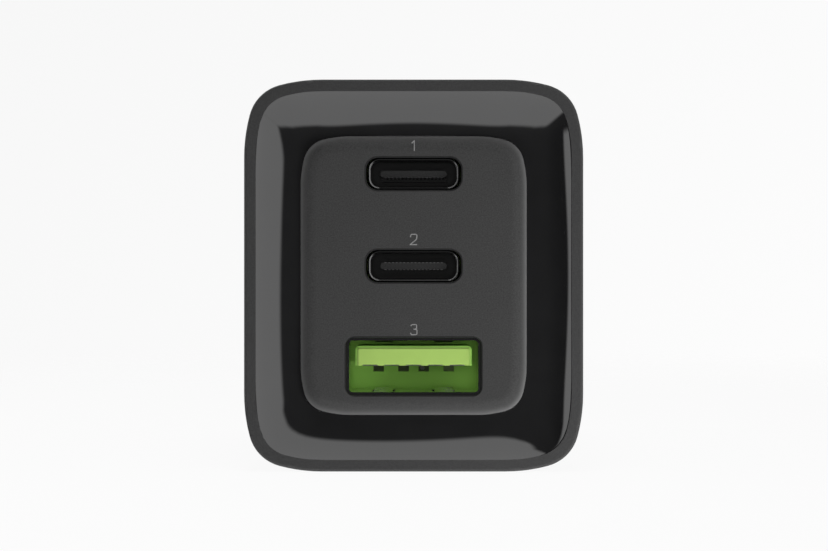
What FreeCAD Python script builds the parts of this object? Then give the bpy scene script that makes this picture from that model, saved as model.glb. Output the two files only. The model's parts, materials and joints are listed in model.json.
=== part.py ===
import FreeCAD, Part
import math
import os
import Sketcher

Vector = FreeCAD.Vector

# Driving sizes, in millimetres and degrees
SIZES = {
    # Slim sockets
    "slim_opening_width": 8.34,
    "slim_opening_height": 2.56,
    "slim_shell_wall": 0.25,
    "slim_corner_radius": 0.85,
    "slim_hole_side_gap": 0.18,
    "slim_hole_top_gap": 0.02,
    "slim_lip_radius": 0.17,
    "slim_back_thickness": 4.4,
    "slim_tongue_width": 6.5,
    "slim_tongue_thickness": 0.6,
    "slim_tongue_setback": 1.1,
    "slim_root_thickness": 1.3,
    "slim_root_length": 1.4,
    "slim_contact_pitch": 0.365,
    "slim_contact_width": 0.17,
    "slim_contact_thickness": 0.08,
    "slim_contact_setback": 0.25,
    # Wide socket
    "wide_opening_width": 12.5,
    "wide_opening_height": 5.0,
    "wide_shell_wall": 0.25,
    "wide_corner_radius": 0.6,
    "wide_hole_gap": 0.02,
    "wide_back_thickness": 1.7,
    "wide_tongue_width": 11.3,
    "wide_tongue_thickness": 1.9,
    "wide_tongue_rise": 1.0,
    "wide_tongue_setback": 0.6,
    "wide_tongue_bevel": 0.3,
    "wide_tongue_corner": 0.4,
    "wide_slot_width": 1.05,
    "wide_slot_height": 0.84,
    "wide_inner_pitch": 2.0,
    "wide_outer_pitch": 7.0,
    "wide_contact_width": 0.9,
    "wide_contact_thickness": 0.12,
    "wide_contact_setback": 3.2,
    "wide_pad_pitch": 2.11,
    "wide_pad_width": 1.45,
    "wide_pad_length": 2.0,
    "wide_pad_thickness": 0.09,
    "wide_spring_pitch": 5.86,
    "wide_spring_width": 1.8,
    "wide_spring_start": 1.4,
    "wide_spring_length": 4.2,
    "wide_spring_bend": 0.28,
    "wide_spring_slit": 0.2,
    # Socket group
    "socket_length": 10.6,
    "socket_setback": 0.45,
    # Port panel
    "panel_side_margin": 4.48,
    "panel_top_margin": 2.15,
    "panel_bottom_margin": 1.99,
    "slim_spacing": 5.83,
    "wide_spacing": 5.39,
    "panel_recess": 0.75,
    "panel_edge_radius": 1.7,
    "panel_edge_trim": 0.15,
    "panel_wall": 1.6,
    "panel_flange": 1.4,
    "panel_flange_thickness": 1.2,
    "panel_fit": 0.04,
    "panel_corner_radius": 2.6,
    "hole_edge_radius": 0.12,
    # Gloss frame
    "frame_face_width": 4.22,
    "frame_corner_radius": 3.4,
    "frame_base_thickness": 1.5,
    "frame_land": 0.02,
    "frame_setback": 0.03,
    "frame_fit": 0.02,
    "cove_outer_slope": 38,
    "cove_inner_slope": 4,
    "cove_overrun": 0.3,
    # Body shell
    "rim_width": 1.15,
    "rim_edge_radius": 0.3,
    "shell_wall": 1.8,
    "shell_corner_radius": 4.04,
    "shell_rear_wall": 2.0,
    "shell_rear_radius": 2.2,
    "corner_blend_ratio": 4.0,
    "corner_lead_ratio": 1.1,
    "rail_width": 1.2,
    "rail_thickness": 1.2,
    "rail_root": 0.6,
    "rail_gap": 0.05,
    # Plug
    "nose_side_margin": 2.3,
    "nose_top_margin": 4.6,
    "nose_length": 16,
    "nose_edge_radius": 1.0,
    "pin_pitch": 18.6,
    "pin_diameter": 4.0,
    "pin_length": 19,
    "pin_tip_radius": 1.4,
    "pin_core_diameter": 2.8,
    "pin_collar_diameter": 4.8,
    "pin_tail_diameter": 2.4,
    "pin_tail_length": 1.6,
    "sleeve_diameter": 3.6,
    "sleeve_length": 10,
    "sleeve_embed": 6,
    "strip_width": 4.0,
    "strip_thickness": 0.5,
    "strip_foot": 1.8,
    "strip_clearance": 0.3,
    # Boards
    "board_thickness": 1.2,
    "board_side_gap": 0.4,
    "port_board_corner": 3.2,
    "main_board_rise": 3.9,
    "isolation_slot_width": 1.0,
    "isolation_slot_length": 9.0,
    # Parts on the main board
    "part_gap": 0.7,
    "output_capacitor_diameter": 6.3,
    "output_capacitor_length": 9.0,
    "output_capacitor_spacing": 0.6,
    "bulk_capacitor_diameter": 10,
    "bulk_capacitor_length": 22,
    "bulk_capacitor_spacing": 0.5,
    "capacitor_edge_radius": 0.6,
    "capacitor_crimp_height": 1.8,
    "capacitor_crimp_width": 0.9,
    "capacitor_crimp_depth": 0.3,
    "row_side_gap": 0.3,
    "core_width": 18,
    "core_length": 14.5,
    "core_height": 8.5,
    "core_back": 3.2,
    "core_outer_leg": 2.6,
    "core_centre_leg": 5.2,
    "core_fit": 0.1,
    "bobbin_wall": 0.7,
    "bobbin_flange_thickness": 0.8,
    "bobbin_flange_height": 17,
    "bobbin_corner_radius": 0.8,
    "winding_inset": 0.5,
    "film_thickness": 5.0,
    "film_length": 13,
    "film_height": 11,
    "film_edge_radius": 0.5,
    "choke_bore": 4.6,
    "choke_diameter": 8.6,
    "choke_thickness": 3.0,
    "choke_winding_build": 0.65,
    "choke_winding_angle": 130,
    "choke_fit": 0.05,
    "coupler_width": 4.6,
    "coupler_length": 6.2,
    "coupler_height": 3.4,
    "coupler_chamfer": 0.4,
    "disc_diameter": 6.0,
    "disc_thickness": 3.2,
    "disc_edge_radius": 1.2,
    "disc_lead_diameter": 0.6,
    "disc_lead_pitch": 3.0,
    "disc_rise": 1.2,
    # Parts under the main board
    "chip_height": 1.1,
    "chip_chamfer": 0.2,
    "power_switch_size": 8.0,
    "rectifier_switch_size": 6.0,
    "switch_spacing": 3.0,
    "switch_lead_in": 2.5,
    "pad_thickness": 0.5,
    "pad_margin": 0.6,
    "spreader_thickness": 0.6,
    "spreader_margin": 0.8,
    "film_sheet_thickness": 0.2,
    "film_sheet_margin": 1.5,
    "bridge_width": 8.0,
    "bridge_length": 6.5,
    "bridge_height": 1.6,
    "fuse_width": 10,
    "fuse_length": 3.0,
    "fuse_height": 2.8,
    "fuse_cap": 2.0,
    # Parts on the port board
    "protocol_chip_size": 4.0,
    "protocol_chip_height": 0.9,
}

# Sizes that follow from the driving sizes
LAYOUT = {
    "slim_shell_width": "sizes.slim_opening_width + 2 * sizes.slim_shell_wall",
    "slim_shell_height": "sizes.slim_opening_height + 2 * sizes.slim_shell_wall",
    "slim_hole_width": "layout.slim_shell_width + 2 * sizes.slim_hole_side_gap",
    "slim_hole_height": "layout.slim_shell_height + 2 * sizes.slim_hole_top_gap",
    "slim_shell_corner": "sizes.slim_corner_radius + sizes.slim_shell_wall",
    "slim_hole_corner": "layout.slim_shell_corner + sizes.slim_hole_top_gap",
    "slim_cavity_depth": "sizes.socket_length - sizes.slim_back_thickness",
    "slim_tongue_length": "layout.slim_cavity_depth - sizes.slim_tongue_setback",
    "wide_shell_width": "sizes.wide_opening_width + 2 * sizes.wide_shell_wall",
    "wide_shell_height": "sizes.wide_opening_height + 2 * sizes.wide_shell_wall",
    "wide_hole_width": "layout.wide_shell_width + 2 * sizes.wide_hole_gap",
    "wide_hole_height": "layout.wide_shell_height + 2 * sizes.wide_hole_gap",
    "wide_cavity_depth": "sizes.socket_length - sizes.wide_back_thickness",
    "wide_tongue_length": "layout.wide_cavity_depth - sizes.wide_tongue_setback",
    "wide_tongue_underside": "sizes.wide_tongue_rise - sizes.wide_tongue_thickness / 2",
    "panel_width": "layout.wide_hole_width + 2 * sizes.panel_side_margin",
    "panel_height": "sizes.panel_top_margin + sizes.panel_bottom_margin + 2 * layout.slim_hole_height"
    " + layout.wide_hole_height + sizes.slim_spacing + sizes.wide_spacing",
    "slim_upper_z": "layout.panel_height / 2 - sizes.panel_top_margin - layout.slim_hole_height / 2",
    "slim_lower_z": "layout.slim_upper_z - layout.slim_hole_height - sizes.slim_spacing",
    "wide_z": "sizes.panel_bottom_margin + layout.wide_hole_height / 2 - layout.panel_height / 2",
    "frame_width": "layout.panel_width + 2 * sizes.frame_face_width",
    "frame_height": "layout.panel_height + 2 * sizes.frame_face_width",
    "body_width": "layout.frame_width + 2 * sizes.rim_width",
    "body_height": "layout.frame_height + 2 * sizes.rim_width",
    "cavity_width": "layout.body_width - 2 * sizes.shell_wall",
    "cavity_height": "layout.body_height - 2 * sizes.shell_wall",
    "cove_span": "sizes.frame_face_width + sizes.cove_overrun - sizes.frame_land",
    "cove_radius": "layout.cove_span / (sin(sizes.cove_outer_slope) - sin(sizes.cove_inner_slope))",
    "cove_depth": "layout.cove_radius * (cos(sizes.cove_inner_slope) - cos(sizes.cove_outer_slope))",
    "frame_back": "sizes.frame_setback + layout.cove_depth + sizes.frame_base_thickness",
    "panel_back": "layout.frame_back + sizes.panel_flange_thickness",
    "mouth_depth": "sizes.panel_recess + sizes.socket_setback",
    "port_board_depth": "layout.mouth_depth + sizes.socket_length",
    "main_board_depth": "layout.port_board_depth + sizes.board_thickness",
    "output_row_depth": "layout.main_board_depth + sizes.part_gap",
    "core_row_depth": "layout.output_row_depth + sizes.output_capacitor_diameter + sizes.part_gap",
    "bulk_row_depth": "layout.core_row_depth + sizes.core_length + sizes.part_gap",
    "rear_wall_depth": "layout.bulk_row_depth + sizes.bulk_capacitor_diameter + sizes.strip_thickness"
    " + sizes.strip_foot + sizes.strip_clearance",
    "body_depth": "layout.rear_wall_depth + sizes.shell_rear_wall",
    "front_y": "-layout.body_depth - sizes.nose_length",
    "board_width": "layout.cavity_width - 2 * sizes.board_side_gap",
    "board_underside": "sizes.main_board_rise - layout.cavity_height / 2",
    "board_top": "layout.board_underside + sizes.board_thickness",
    "board_right": "layout.cavity_width / 2 - sizes.rail_width - sizes.row_side_gap",
    "board_left": "-layout.board_right",
    "window_length": "sizes.core_length - 2 * sizes.core_back",
    "bobbin_length": "layout.window_length - 2 * sizes.core_fit",
    "bobbin_bore_width": "sizes.core_centre_leg + 2 * sizes.core_fit",
    "bobbin_bore_height": "sizes.core_height + 2 * sizes.core_fit",
    "bobbin_tube_width": "layout.bobbin_bore_width + 2 * sizes.bobbin_wall",
    "bobbin_tube_height": "layout.bobbin_bore_height + 2 * sizes.bobbin_wall",
    "bobbin_flange_width": "sizes.core_width - 2 * sizes.core_outer_leg - 2 * sizes.core_fit",
    "winding_length": "layout.bobbin_length - 2 * sizes.bobbin_flange_thickness",
    "core_x": "layout.board_left + sizes.core_width / 2",
    "core_z": "layout.board_top + sizes.bobbin_flange_height / 2",
    "choke_outer_radius": "sizes.choke_diameter / 2 + sizes.choke_fit + sizes.choke_winding_build",
    "choke_inner_radius": "sizes.choke_bore / 2 - sizes.choke_fit - sizes.choke_winding_build",
    "choke_width": "sizes.choke_thickness + 2 * sizes.choke_fit + 2 * sizes.choke_winding_build",
    "nose_width": "sizes.pin_pitch + sizes.pin_collar_diameter + 2 * sizes.nose_side_margin",
    "nose_height": "sizes.pin_collar_diameter + 2 * sizes.nose_top_margin",
    "pin_collar_length": "sizes.nose_length + sizes.shell_rear_wall - sizes.sleeve_embed",
    "switch_underside": "layout.board_underside - sizes.chip_height",
    "pad_length": "sizes.power_switch_size + sizes.rectifier_switch_size + sizes.switch_spacing"
    " + 2 * sizes.pad_margin",
    "pad_width": "sizes.power_switch_size + 2 * sizes.pad_margin",
    "switch_row_depth": "layout.main_board_depth + sizes.switch_lead_in",
    "spreader_width": "layout.pad_width + 2 * sizes.spreader_margin + 2 * sizes.spreader_thickness",
    "spreader_height": "sizes.chip_height + sizes.pad_thickness + sizes.spreader_thickness",
    "film_sheet_width": "layout.spreader_width + 2 * sizes.film_sheet_margin",
}

SLIM_CONTACTS = 16
COVE_STEPS = 5
WIDE_CONTACT_PITCHES = ("wide_outer_pitch", "wide_inner_pitch")
WIDE_PADS = 5
SIDES = {"left": -1, "right": 1}

doc = FreeCAD.newDocument("wall_charger")
sheet = doc.addObject("Spreadsheet::Sheet", "sizes")
for row, (alias, value) in enumerate(SIZES.items(), start=1):
    sheet.set(f"A{row}", alias)
    sheet.set(f"B{row}", str(value))
    sheet.setAlias(f"B{row}", alias)
doc.recompute()

layout = doc.addObject("App::VarSet", "layout")
for name, expression in LAYOUT.items():
    layout.addProperty("App::PropertyFloat", name)
    layout.setExpression(name, expression)
doc.recompute()

nodes = []


def number(expression):
    """Value of an expression on the sheet and the layout."""
    value = layout.evalExpression(expression)
    return float(getattr(value, "Value", value))


def finish(feature, label):
    """Name a finished sub-part and keep it for export."""
    feature.Label = label
    nodes.append(feature)
    return feature


def place(feature, x="0", y="0", z="0"):
    """Bind a feature's place to expressions."""
    for axis, expression in (("x", x), ("y", y), ("z", z)):
        feature.setExpression(f"Placement.Base.{axis}", expression)
    return feature


def at_depth(expression):
    """Y of a plane that lies the given depth behind the front rim."""
    return f"layout.front_y + {expression}"


# Outlines of the housing


class SoftOutline:
    """Closed outline of a rounded box: straight sides and corners of three tangent arcs each."""

    def __init__(self, feature, half_width, half_height, corner, depth):
        bindings = {
            "HalfWidth": half_width,
            "HalfHeight": half_height,
            "Corner": corner,
            "Blend": f"({corner}) * sizes.corner_blend_ratio",
            "Lead": f"({corner}) * sizes.corner_lead_ratio",
            "Depth": depth,
        }
        for name, expression in bindings.items():
            feature.addProperty("App::PropertyFloat", name)
            feature.setExpression(name, expression)
        feature.Proxy = self

    def execute(self, feature):
        """Join four mirrored corners and the sides between them into one wire."""
        quarter = self.quarter(feature)
        runs = []
        for sign_x, sign_z in ((1, 1), (-1, 1), (-1, -1), (1, -1)):
            run = [Vector(sign_x * x, feature.Depth, sign_z * z) for x, z in quarter]
            runs.append(run if sign_x == sign_z else run[::-1])
        edges = []
        for run, follower in zip(runs, runs[1:] + runs[:1]):
            edges += [Part.Arc(*run[i:i + 3]).toShape() for i in (0, 2, 4)]
            edges.append(Part.LineSegment(run[-1], follower[0]).toShape())
        feature.Shape = Part.Wire(edges)

    def quarter(self, feature):
        """Ends and middles of the three arcs of the corner between +X and +Z."""
        corner = (feature.HalfWidth - feature.Lead, feature.HalfHeight - feature.Lead)
        side = self.lead_arc(feature, corner, feature.HalfWidth)
        end = self.lead_arc(feature, corner[::-1], feature.HalfHeight)
        end = [point[::-1] for point in reversed(end)]
        return side + [self.arc_middle(corner, side[-1], end[0])] + end

    def lead_arc(self, feature, corner, half):
        """Wide arc that leads from a straight side into the corner: its ends and its middle."""
        across = feature.Blend - feature.Lead
        along = math.sqrt((feature.Blend - feature.Corner) ** 2 - across**2)
        centre = (half - feature.Blend, corner[1] - along)
        start = (half, centre[1])
        stop = self.beyond(centre, corner, feature.Blend)
        return [start, self.arc_middle(centre, start, stop), stop]

    def beyond(self, centre, through, radius):
        """Point of a circle that lies beyond another point, seen from its centre."""
        scale = radius / math.dist(centre, through)
        return tuple(c + (p - c) * scale for c, p in zip(centre, through))

    def arc_middle(self, centre, start, stop):
        """Middle of the short arc between two points of a circle."""
        between = tuple((a + b) / 2 for a, b in zip(start, stop))
        return self.beyond(centre, between, math.dist(centre, start))


def outline(name, width, height, corner, depth):
    """Outline in a plane square to the plug axis, centred on it."""
    feature = doc.addObject("Part::FeaturePython", name)
    SoftOutline(feature, f"({width}) / 2", f"({height}) / 2", corner, at_depth(depth))
    return feature


def extrude(name, base, length):
    """Solid from an outline, growing towards the plug."""
    feature = doc.addObject("Part::Extrusion", name)
    feature.Base = base
    feature.DirMode = "Custom"
    feature.Dir = Vector(0, 1, 0)
    feature.Solid = True
    feature.setExpression("LengthFwd", length)
    return feature


def cut(name, base, *tools):
    """Take one or more solids away from a base."""
    for index, tool in enumerate(tools):
        feature = doc.addObject("Part::Cut", f"{name}_{index}")
        feature.Base = base
        feature.Tool = tool
        base = feature
    return base


def fuse(name, *shapes):
    """Join solids into one."""
    feature = doc.addObject("Part::MultiFuse", name)
    feature.Shapes = list(shapes)
    feature.Refine = True
    return feature


def common(name, *shapes):
    """Keep what solids share."""
    feature = doc.addObject("Part::MultiCommon", name)
    feature.Shapes = list(shapes)
    return feature


def edges_in_plane(feature, depth, zone=None):
    """Numbers of the edges that lie at a depth, inside a zone of X and Z if one is given."""
    doc.recompute()
    level = number(at_depth(depth))
    near = 1e-4
    found = []
    for index, edge in enumerate(feature.Shape.Edges, start=1):
        box = edge.BoundBox
        if abs(box.YMin - level) > near or abs(box.YMax - level) > near:
            continue
        if zone is None or zone.isInside(box):
            found.append(index)
    return found


def rounded(name, base, picks):
    """Round picked edges: each pick is a list of edge numbers and the radius from the sheet."""
    feature = doc.addObject("Part::Fillet", name)
    feature.Base = base
    feature.Edges = [(index, radius, radius) for edges, radius in picks for index in edges]
    return feature


# Sketched features


def origin_plane(body, role):
    """Plane of a body's own origin."""
    return next(item for item in body.Origin.OriginFeatures if item.Role == role)


def new_body(name):
    """Empty body."""
    return doc.addObject("PartDesign::Body", name)


def new_sketch(body, name, role="XZ_Plane", x="0", y="0", z="0"):
    """Sketch on a plane of the body's origin, shifted in the sketch's own axes."""
    sketch = body.newObject("Sketcher::SketchObject", name)
    sketch.AttachmentSupport = [(origin_plane(body, role), "")]
    sketch.MapMode = "FlatFace"
    for axis, expression in (("x", x), ("y", y), ("z", z)):
        sketch.setExpression(f"AttachmentOffset.Base.{axis}", expression)
    return sketch


def constrain(sketch, expression, *arguments):
    """Add a sized constraint and bind it to an expression."""
    index = sketch.addConstraint(Sketcher.Constraint(*arguments, number(expression)))
    sketch.setExpression(f"Constraints[{index}]", expression)


def polygon(sketch, points):
    """Closed chain of straight lines."""
    corners = [Vector(x, y, 0) for x, y in points]
    first = sketch.GeometryCount
    last = first + len(corners) - 1
    for index, start in enumerate(corners):
        stop = corners[(index + 1) % len(corners)]
        sketch.addGeometry(Part.LineSegment(start, stop))
    for index in range(first, last + 1):
        follower = index + 1 if index < last else first
        sketch.addConstraint(Sketcher.Constraint("Coincident", index, 2, follower, 1))
    return first


def square_up(sketch, first, count):
    """Make a chain's lines run level and upright in turn, starting level."""
    for index in range(count):
        kind = "Vertical" if index % 2 else "Horizontal"
        sketch.addConstraint(Sketcher.Constraint(kind, first + index))


def rectangle(sketch, width, height):
    """Rectangle about the sketch's origin."""
    half_x = number(width) / 2
    half_y = number(height) / 2
    first = polygon(sketch, [(-half_x, -half_y), (half_x, -half_y), (half_x, half_y), (-half_x, half_y)])
    square_up(sketch, first, 4)
    sketch.addConstraint(Sketcher.Constraint("Symmetric", first, 1, first + 2, 1, -1, 1))
    constrain(sketch, width, "DistanceX", first, 1, first, 2)
    constrain(sketch, height, "DistanceY", first + 1, 1, first + 1, 2)
    return sketch


def circle(sketch, diameter):
    """Circle about the sketch's origin."""
    round_line = Part.Circle(Vector(), Vector(0, 0, 1), number(diameter) / 2)
    index = sketch.addGeometry(round_line)
    sketch.addConstraint(Sketcher.Constraint("Coincident", index, 3, -1, 1))
    constrain(sketch, diameter, "Diameter", index)
    return sketch


def rounded_rectangle(sketch, width, height, radius):
    """Rectangle with round corners about the sketch's origin."""
    half_x = number(width) / 2
    half_y = number(height) / 2
    turn = number(radius)
    inner_x = half_x - turn
    inner_y = half_y - turn
    lines = (
        ((-inner_x, -half_y), (inner_x, -half_y)),
        ((half_x, -inner_y), (half_x, inner_y)),
        ((inner_x, half_y), (-inner_x, half_y)),
        ((-half_x, inner_y), (-half_x, -inner_y)),
    )
    centres = ((inner_x, -inner_y), (inner_x, inner_y), (-inner_x, inner_y), (-inner_x, -inner_y))
    first = sketch.GeometryCount
    for quarter, (line, centre) in enumerate(zip(lines, centres)):
        start, stop = (Vector(x, y, 0) for x, y in line)
        sketch.addGeometry(Part.LineSegment(start, stop))
        whole = Part.Circle(Vector(*centre, 0), Vector(0, 0, 1), turn)
        begin = (quarter - 1) * math.pi / 2
        sketch.addGeometry(Part.ArcOfCircle(whole, begin, begin + math.pi / 2))
    for quarter in range(4):
        line = first + 2 * quarter
        follower = first + (2 * quarter + 2) % 8
        sketch.addConstraint(Sketcher.Constraint("Tangent", line, 2, line + 1, 1))
        sketch.addConstraint(Sketcher.Constraint("Tangent", line + 1, 2, follower, 1))
        kind = "Vertical" if quarter % 2 else "Horizontal"
        sketch.addConstraint(Sketcher.Constraint(kind, line))
    for quarter in range(1, 4):
        sketch.addConstraint(Sketcher.Constraint("Equal", first + 1, first + 1 + 2 * quarter))
    sketch.addConstraint(Sketcher.Constraint("Symmetric", first + 1, 3, first + 5, 3, -1, 1))
    constrain(sketch, radius, "Radius", first + 1)
    constrain(sketch, width, "DistanceX", first + 6, 1, first + 2, 1)
    constrain(sketch, height, "DistanceY", first, 1, first + 4, 2)
    return sketch


def stadium(sketch, width, height):
    """Slot with full round ends about the sketch's origin."""
    radius = number(height) / 2
    reach = number(width) / 2 - radius
    first = sketch.GeometryCount
    sketch.addGeometry(Part.LineSegment(Vector(-reach, -radius, 0), Vector(reach, -radius, 0)))
    right = Part.Circle(Vector(reach, 0, 0), Vector(0, 0, 1), radius)
    sketch.addGeometry(Part.ArcOfCircle(right, -math.pi / 2, math.pi / 2))
    sketch.addGeometry(Part.LineSegment(Vector(reach, radius, 0), Vector(-reach, radius, 0)))
    left = Part.Circle(Vector(-reach, 0, 0), Vector(0, 0, 1), radius)
    sketch.addGeometry(Part.ArcOfCircle(left, math.pi / 2, 3 * math.pi / 2))
    for index in range(4):
        follower = first + (index + 1) % 4
        sketch.addConstraint(Sketcher.Constraint("Tangent", first + index, 2, follower, 1))
    sketch.addConstraint(Sketcher.Constraint("Equal", first + 1, first + 3))
    sketch.addConstraint(Sketcher.Constraint("Symmetric", first + 1, 3, first + 3, 3, -1, 1))
    sketch.addConstraint(Sketcher.Constraint("PointOnObject", first + 1, 3, -1))
    constrain(sketch, f"({height}) / 2", "Radius", first + 1)
    constrain(sketch, f"({width}) - ({height})", "DistanceX", first + 3, 3, first + 1, 3)
    return sketch


def stepped_profile(sketch, points):
    """Closed level-and-upright profile whose corners are expressions, starting with a level line."""
    first = polygon(sketch, [(number(x), number(y)) for x, y in points])
    square_up(sketch, first, len(points))
    for index, (x, y) in enumerate(points):
        if index % 2 == 0:
            pin_to_axis(sketch, y, "DistanceY", first + index)
        else:
            pin_to_axis(sketch, x, "DistanceX", first + index)
    return sketch


def pin_to_axis(sketch, expression, kind, line):
    """Hold a line's start at a distance from the sketch's origin, or on the axis."""
    if number(expression) == 0:
        axis = -1 if kind == "DistanceY" else -2
        sketch.addConstraint(Sketcher.Constraint("PointOnObject", line, 1, axis))
    else:
        constrain(sketch, expression, kind, -1, 1, line, 1)


def grow(body, name, sketch, length, kind="Pad", towards_plug=True):
    """Pad or pocket a sketch by a bound length."""
    feature = body.newObject(f"PartDesign::{kind}", name)
    feature.Profile = sketch
    feature.setExpression("Length", length)
    feature.Reversed = towards_plug
    return feature


def revolve(body, name, sketch, axis_role, angle="360"):
    """Turn a sketch about an axis of the body's origin, to both sides of the sketch."""
    feature = body.newObject("PartDesign::Revolution", name)
    feature.Profile = sketch
    feature.ReferenceAxis = (origin_plane(body, axis_role), [""])
    feature.Midplane = True
    feature.setExpression("Angle", angle)
    return feature


def block(name, x, y, z, size_x, size_y, size_z):
    """Box centred on X, with its front face at Y and its underside at Z."""
    feature = doc.addObject("Part::Box", name)
    feature.setExpression("Length", size_x)
    feature.setExpression("Width", size_y)
    feature.setExpression("Height", size_z)
    return place(feature, f"{x} - ({size_x}) / 2", y, z)


def rod(name, diameter, length, x, y, z):
    """Cylinder along Y."""
    feature = doc.addObject("Part::Cylinder", name)
    feature.setExpression("Radius", f"({diameter}) / 2")
    feature.setExpression("Height", length)
    feature.Placement = FreeCAD.Placement(Vector(), FreeCAD.Rotation(Vector(1, 0, 0), -90))
    return place(feature, x, y, z)


# Housing


def hole_cutter(name, shape, z, *size):
    """Solid that cuts a socket's opening through the panel."""
    body = new_body(name)
    grow(body, f"{name}_pad", shape(new_sketch(body, f"{name}_sketch"), *size), "layout.panel_back")
    return place(body, y="layout.front_y", z=z)


def make_body_shell():
    """Matte tub with a plug nose, a seat for the frame and rails for the main board."""
    block_outline = outline("shell_outline", "layout.body_width", "layout.body_height",
                            "sizes.shell_corner_radius", "0")
    blank = extrude("shell_blank", block_outline, "layout.body_depth")
    smooth = rounded("shell_round", blank, [
        (edges_in_plane(blank, "layout.body_depth"), sheet.shell_rear_radius),
        (edges_in_plane(blank, "0"), sheet.rim_edge_radius),
    ])
    nose = new_body("nose")
    nose_sketch = stadium(new_sketch(nose, "nose_sketch"), "layout.nose_width", "layout.nose_height")
    grow(nose, "nose_pad", nose_sketch, "sizes.nose_length + sizes.shell_rear_wall")
    place(nose, y=at_depth("layout.rear_wall_depth"))
    nose_round = rounded("nose_round", nose, [
        (edges_in_plane(nose, "layout.body_depth + sizes.nose_length"), sheet.nose_edge_radius),
    ])
    solid = fuse("shell_solid", smooth, nose_round)
    cavity_outline = outline("cavity_outline", "layout.cavity_width", "layout.cavity_height",
                             "sizes.shell_corner_radius - sizes.shell_wall", "0")
    cavity = extrude("cavity", cavity_outline, "layout.rear_wall_depth")
    seat_outline = outline("seat_outline", "layout.frame_width + 2 * sizes.frame_fit",
                           "layout.frame_height + 2 * sizes.frame_fit", "sizes.frame_corner_radius", "0")
    seat = extrude("seat", seat_outline, "layout.frame_back")
    hollow = cut("shell_hollow", solid, cavity, seat)
    rails = []
    levels = {
        "lower": "layout.board_underside - sizes.rail_thickness",
        "upper": "layout.board_top + sizes.rail_gap",
    }
    for side, sign in SIDES.items():
        middle = f"{sign} * (layout.cavity_width + sizes.rail_root - sizes.rail_width) / 2"
        for level, z in levels.items():
            rails.append(block(f"rail_{side}_{level}", middle, at_depth("layout.main_board_depth"), z,
                               "sizes.rail_width + sizes.rail_root",
                               "layout.rear_wall_depth + sizes.rail_root - layout.main_board_depth",
                               "sizes.rail_thickness"))
    railed = fuse("shell_railed", hollow, *rails)
    bores = []
    for side, sign in SIDES.items():
        x = f"{sign} * sizes.pin_pitch / 2"
        bores.append(rod(f"collar_bore_{side}", "sizes.pin_collar_diameter", "layout.pin_collar_length",
                         x, at_depth("layout.rear_wall_depth"), "0"))
        bores.append(rod(f"sleeve_bore_{side}", "sizes.sleeve_diameter", "sizes.sleeve_embed",
                         x, "-sizes.sleeve_embed", "0"))
    finish(cut("shell_bored", railed, *bores), "body_shell")


def make_front_frame():
    """Gloss ring whose face is a cove that falls from the rim to the panel."""
    frame_outline = outline("frame_outline", "layout.frame_width", "layout.frame_height",
                            "sizes.frame_corner_radius", "sizes.frame_setback")
    blank = extrude("frame_blank", frame_outline, "layout.frame_back - sizes.frame_setback")
    sections = []
    for step in range(COVE_STEPS + 1):
        share = f"{step} / {COVE_STEPS}"
        slope = f"(sizes.cove_outer_slope + (sizes.cove_inner_slope - sizes.cove_outer_slope) * {share})"
        inset = f"(sizes.frame_land + layout.cove_radius * (sin(sizes.cove_outer_slope) - sin{slope}))"
        fall = f"layout.cove_radius * (cos{slope} - cos(sizes.cove_outer_slope))"
        corner = ("sizes.frame_corner_radius + (sizes.panel_corner_radius - sizes.frame_corner_radius)"
                  f" * {inset} / sizes.frame_face_width")
        sections.append(outline(f"cove_section_{step}", f"layout.frame_width - 2 * {inset}",
                                f"layout.frame_height - 2 * {inset}", corner,
                                f"sizes.frame_setback + {fall}"))
    cove = doc.addObject("Part::Loft", "cove")
    cove.Sections = sections
    cove.Solid = True
    opening_outline = outline("opening_outline", "layout.panel_width", "layout.panel_height",
                              "sizes.panel_corner_radius", "0")
    opening = extrude("opening", opening_outline, "layout.panel_back")
    finish(cut("frame_cut", blank, cove, opening), "front_frame")


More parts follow.
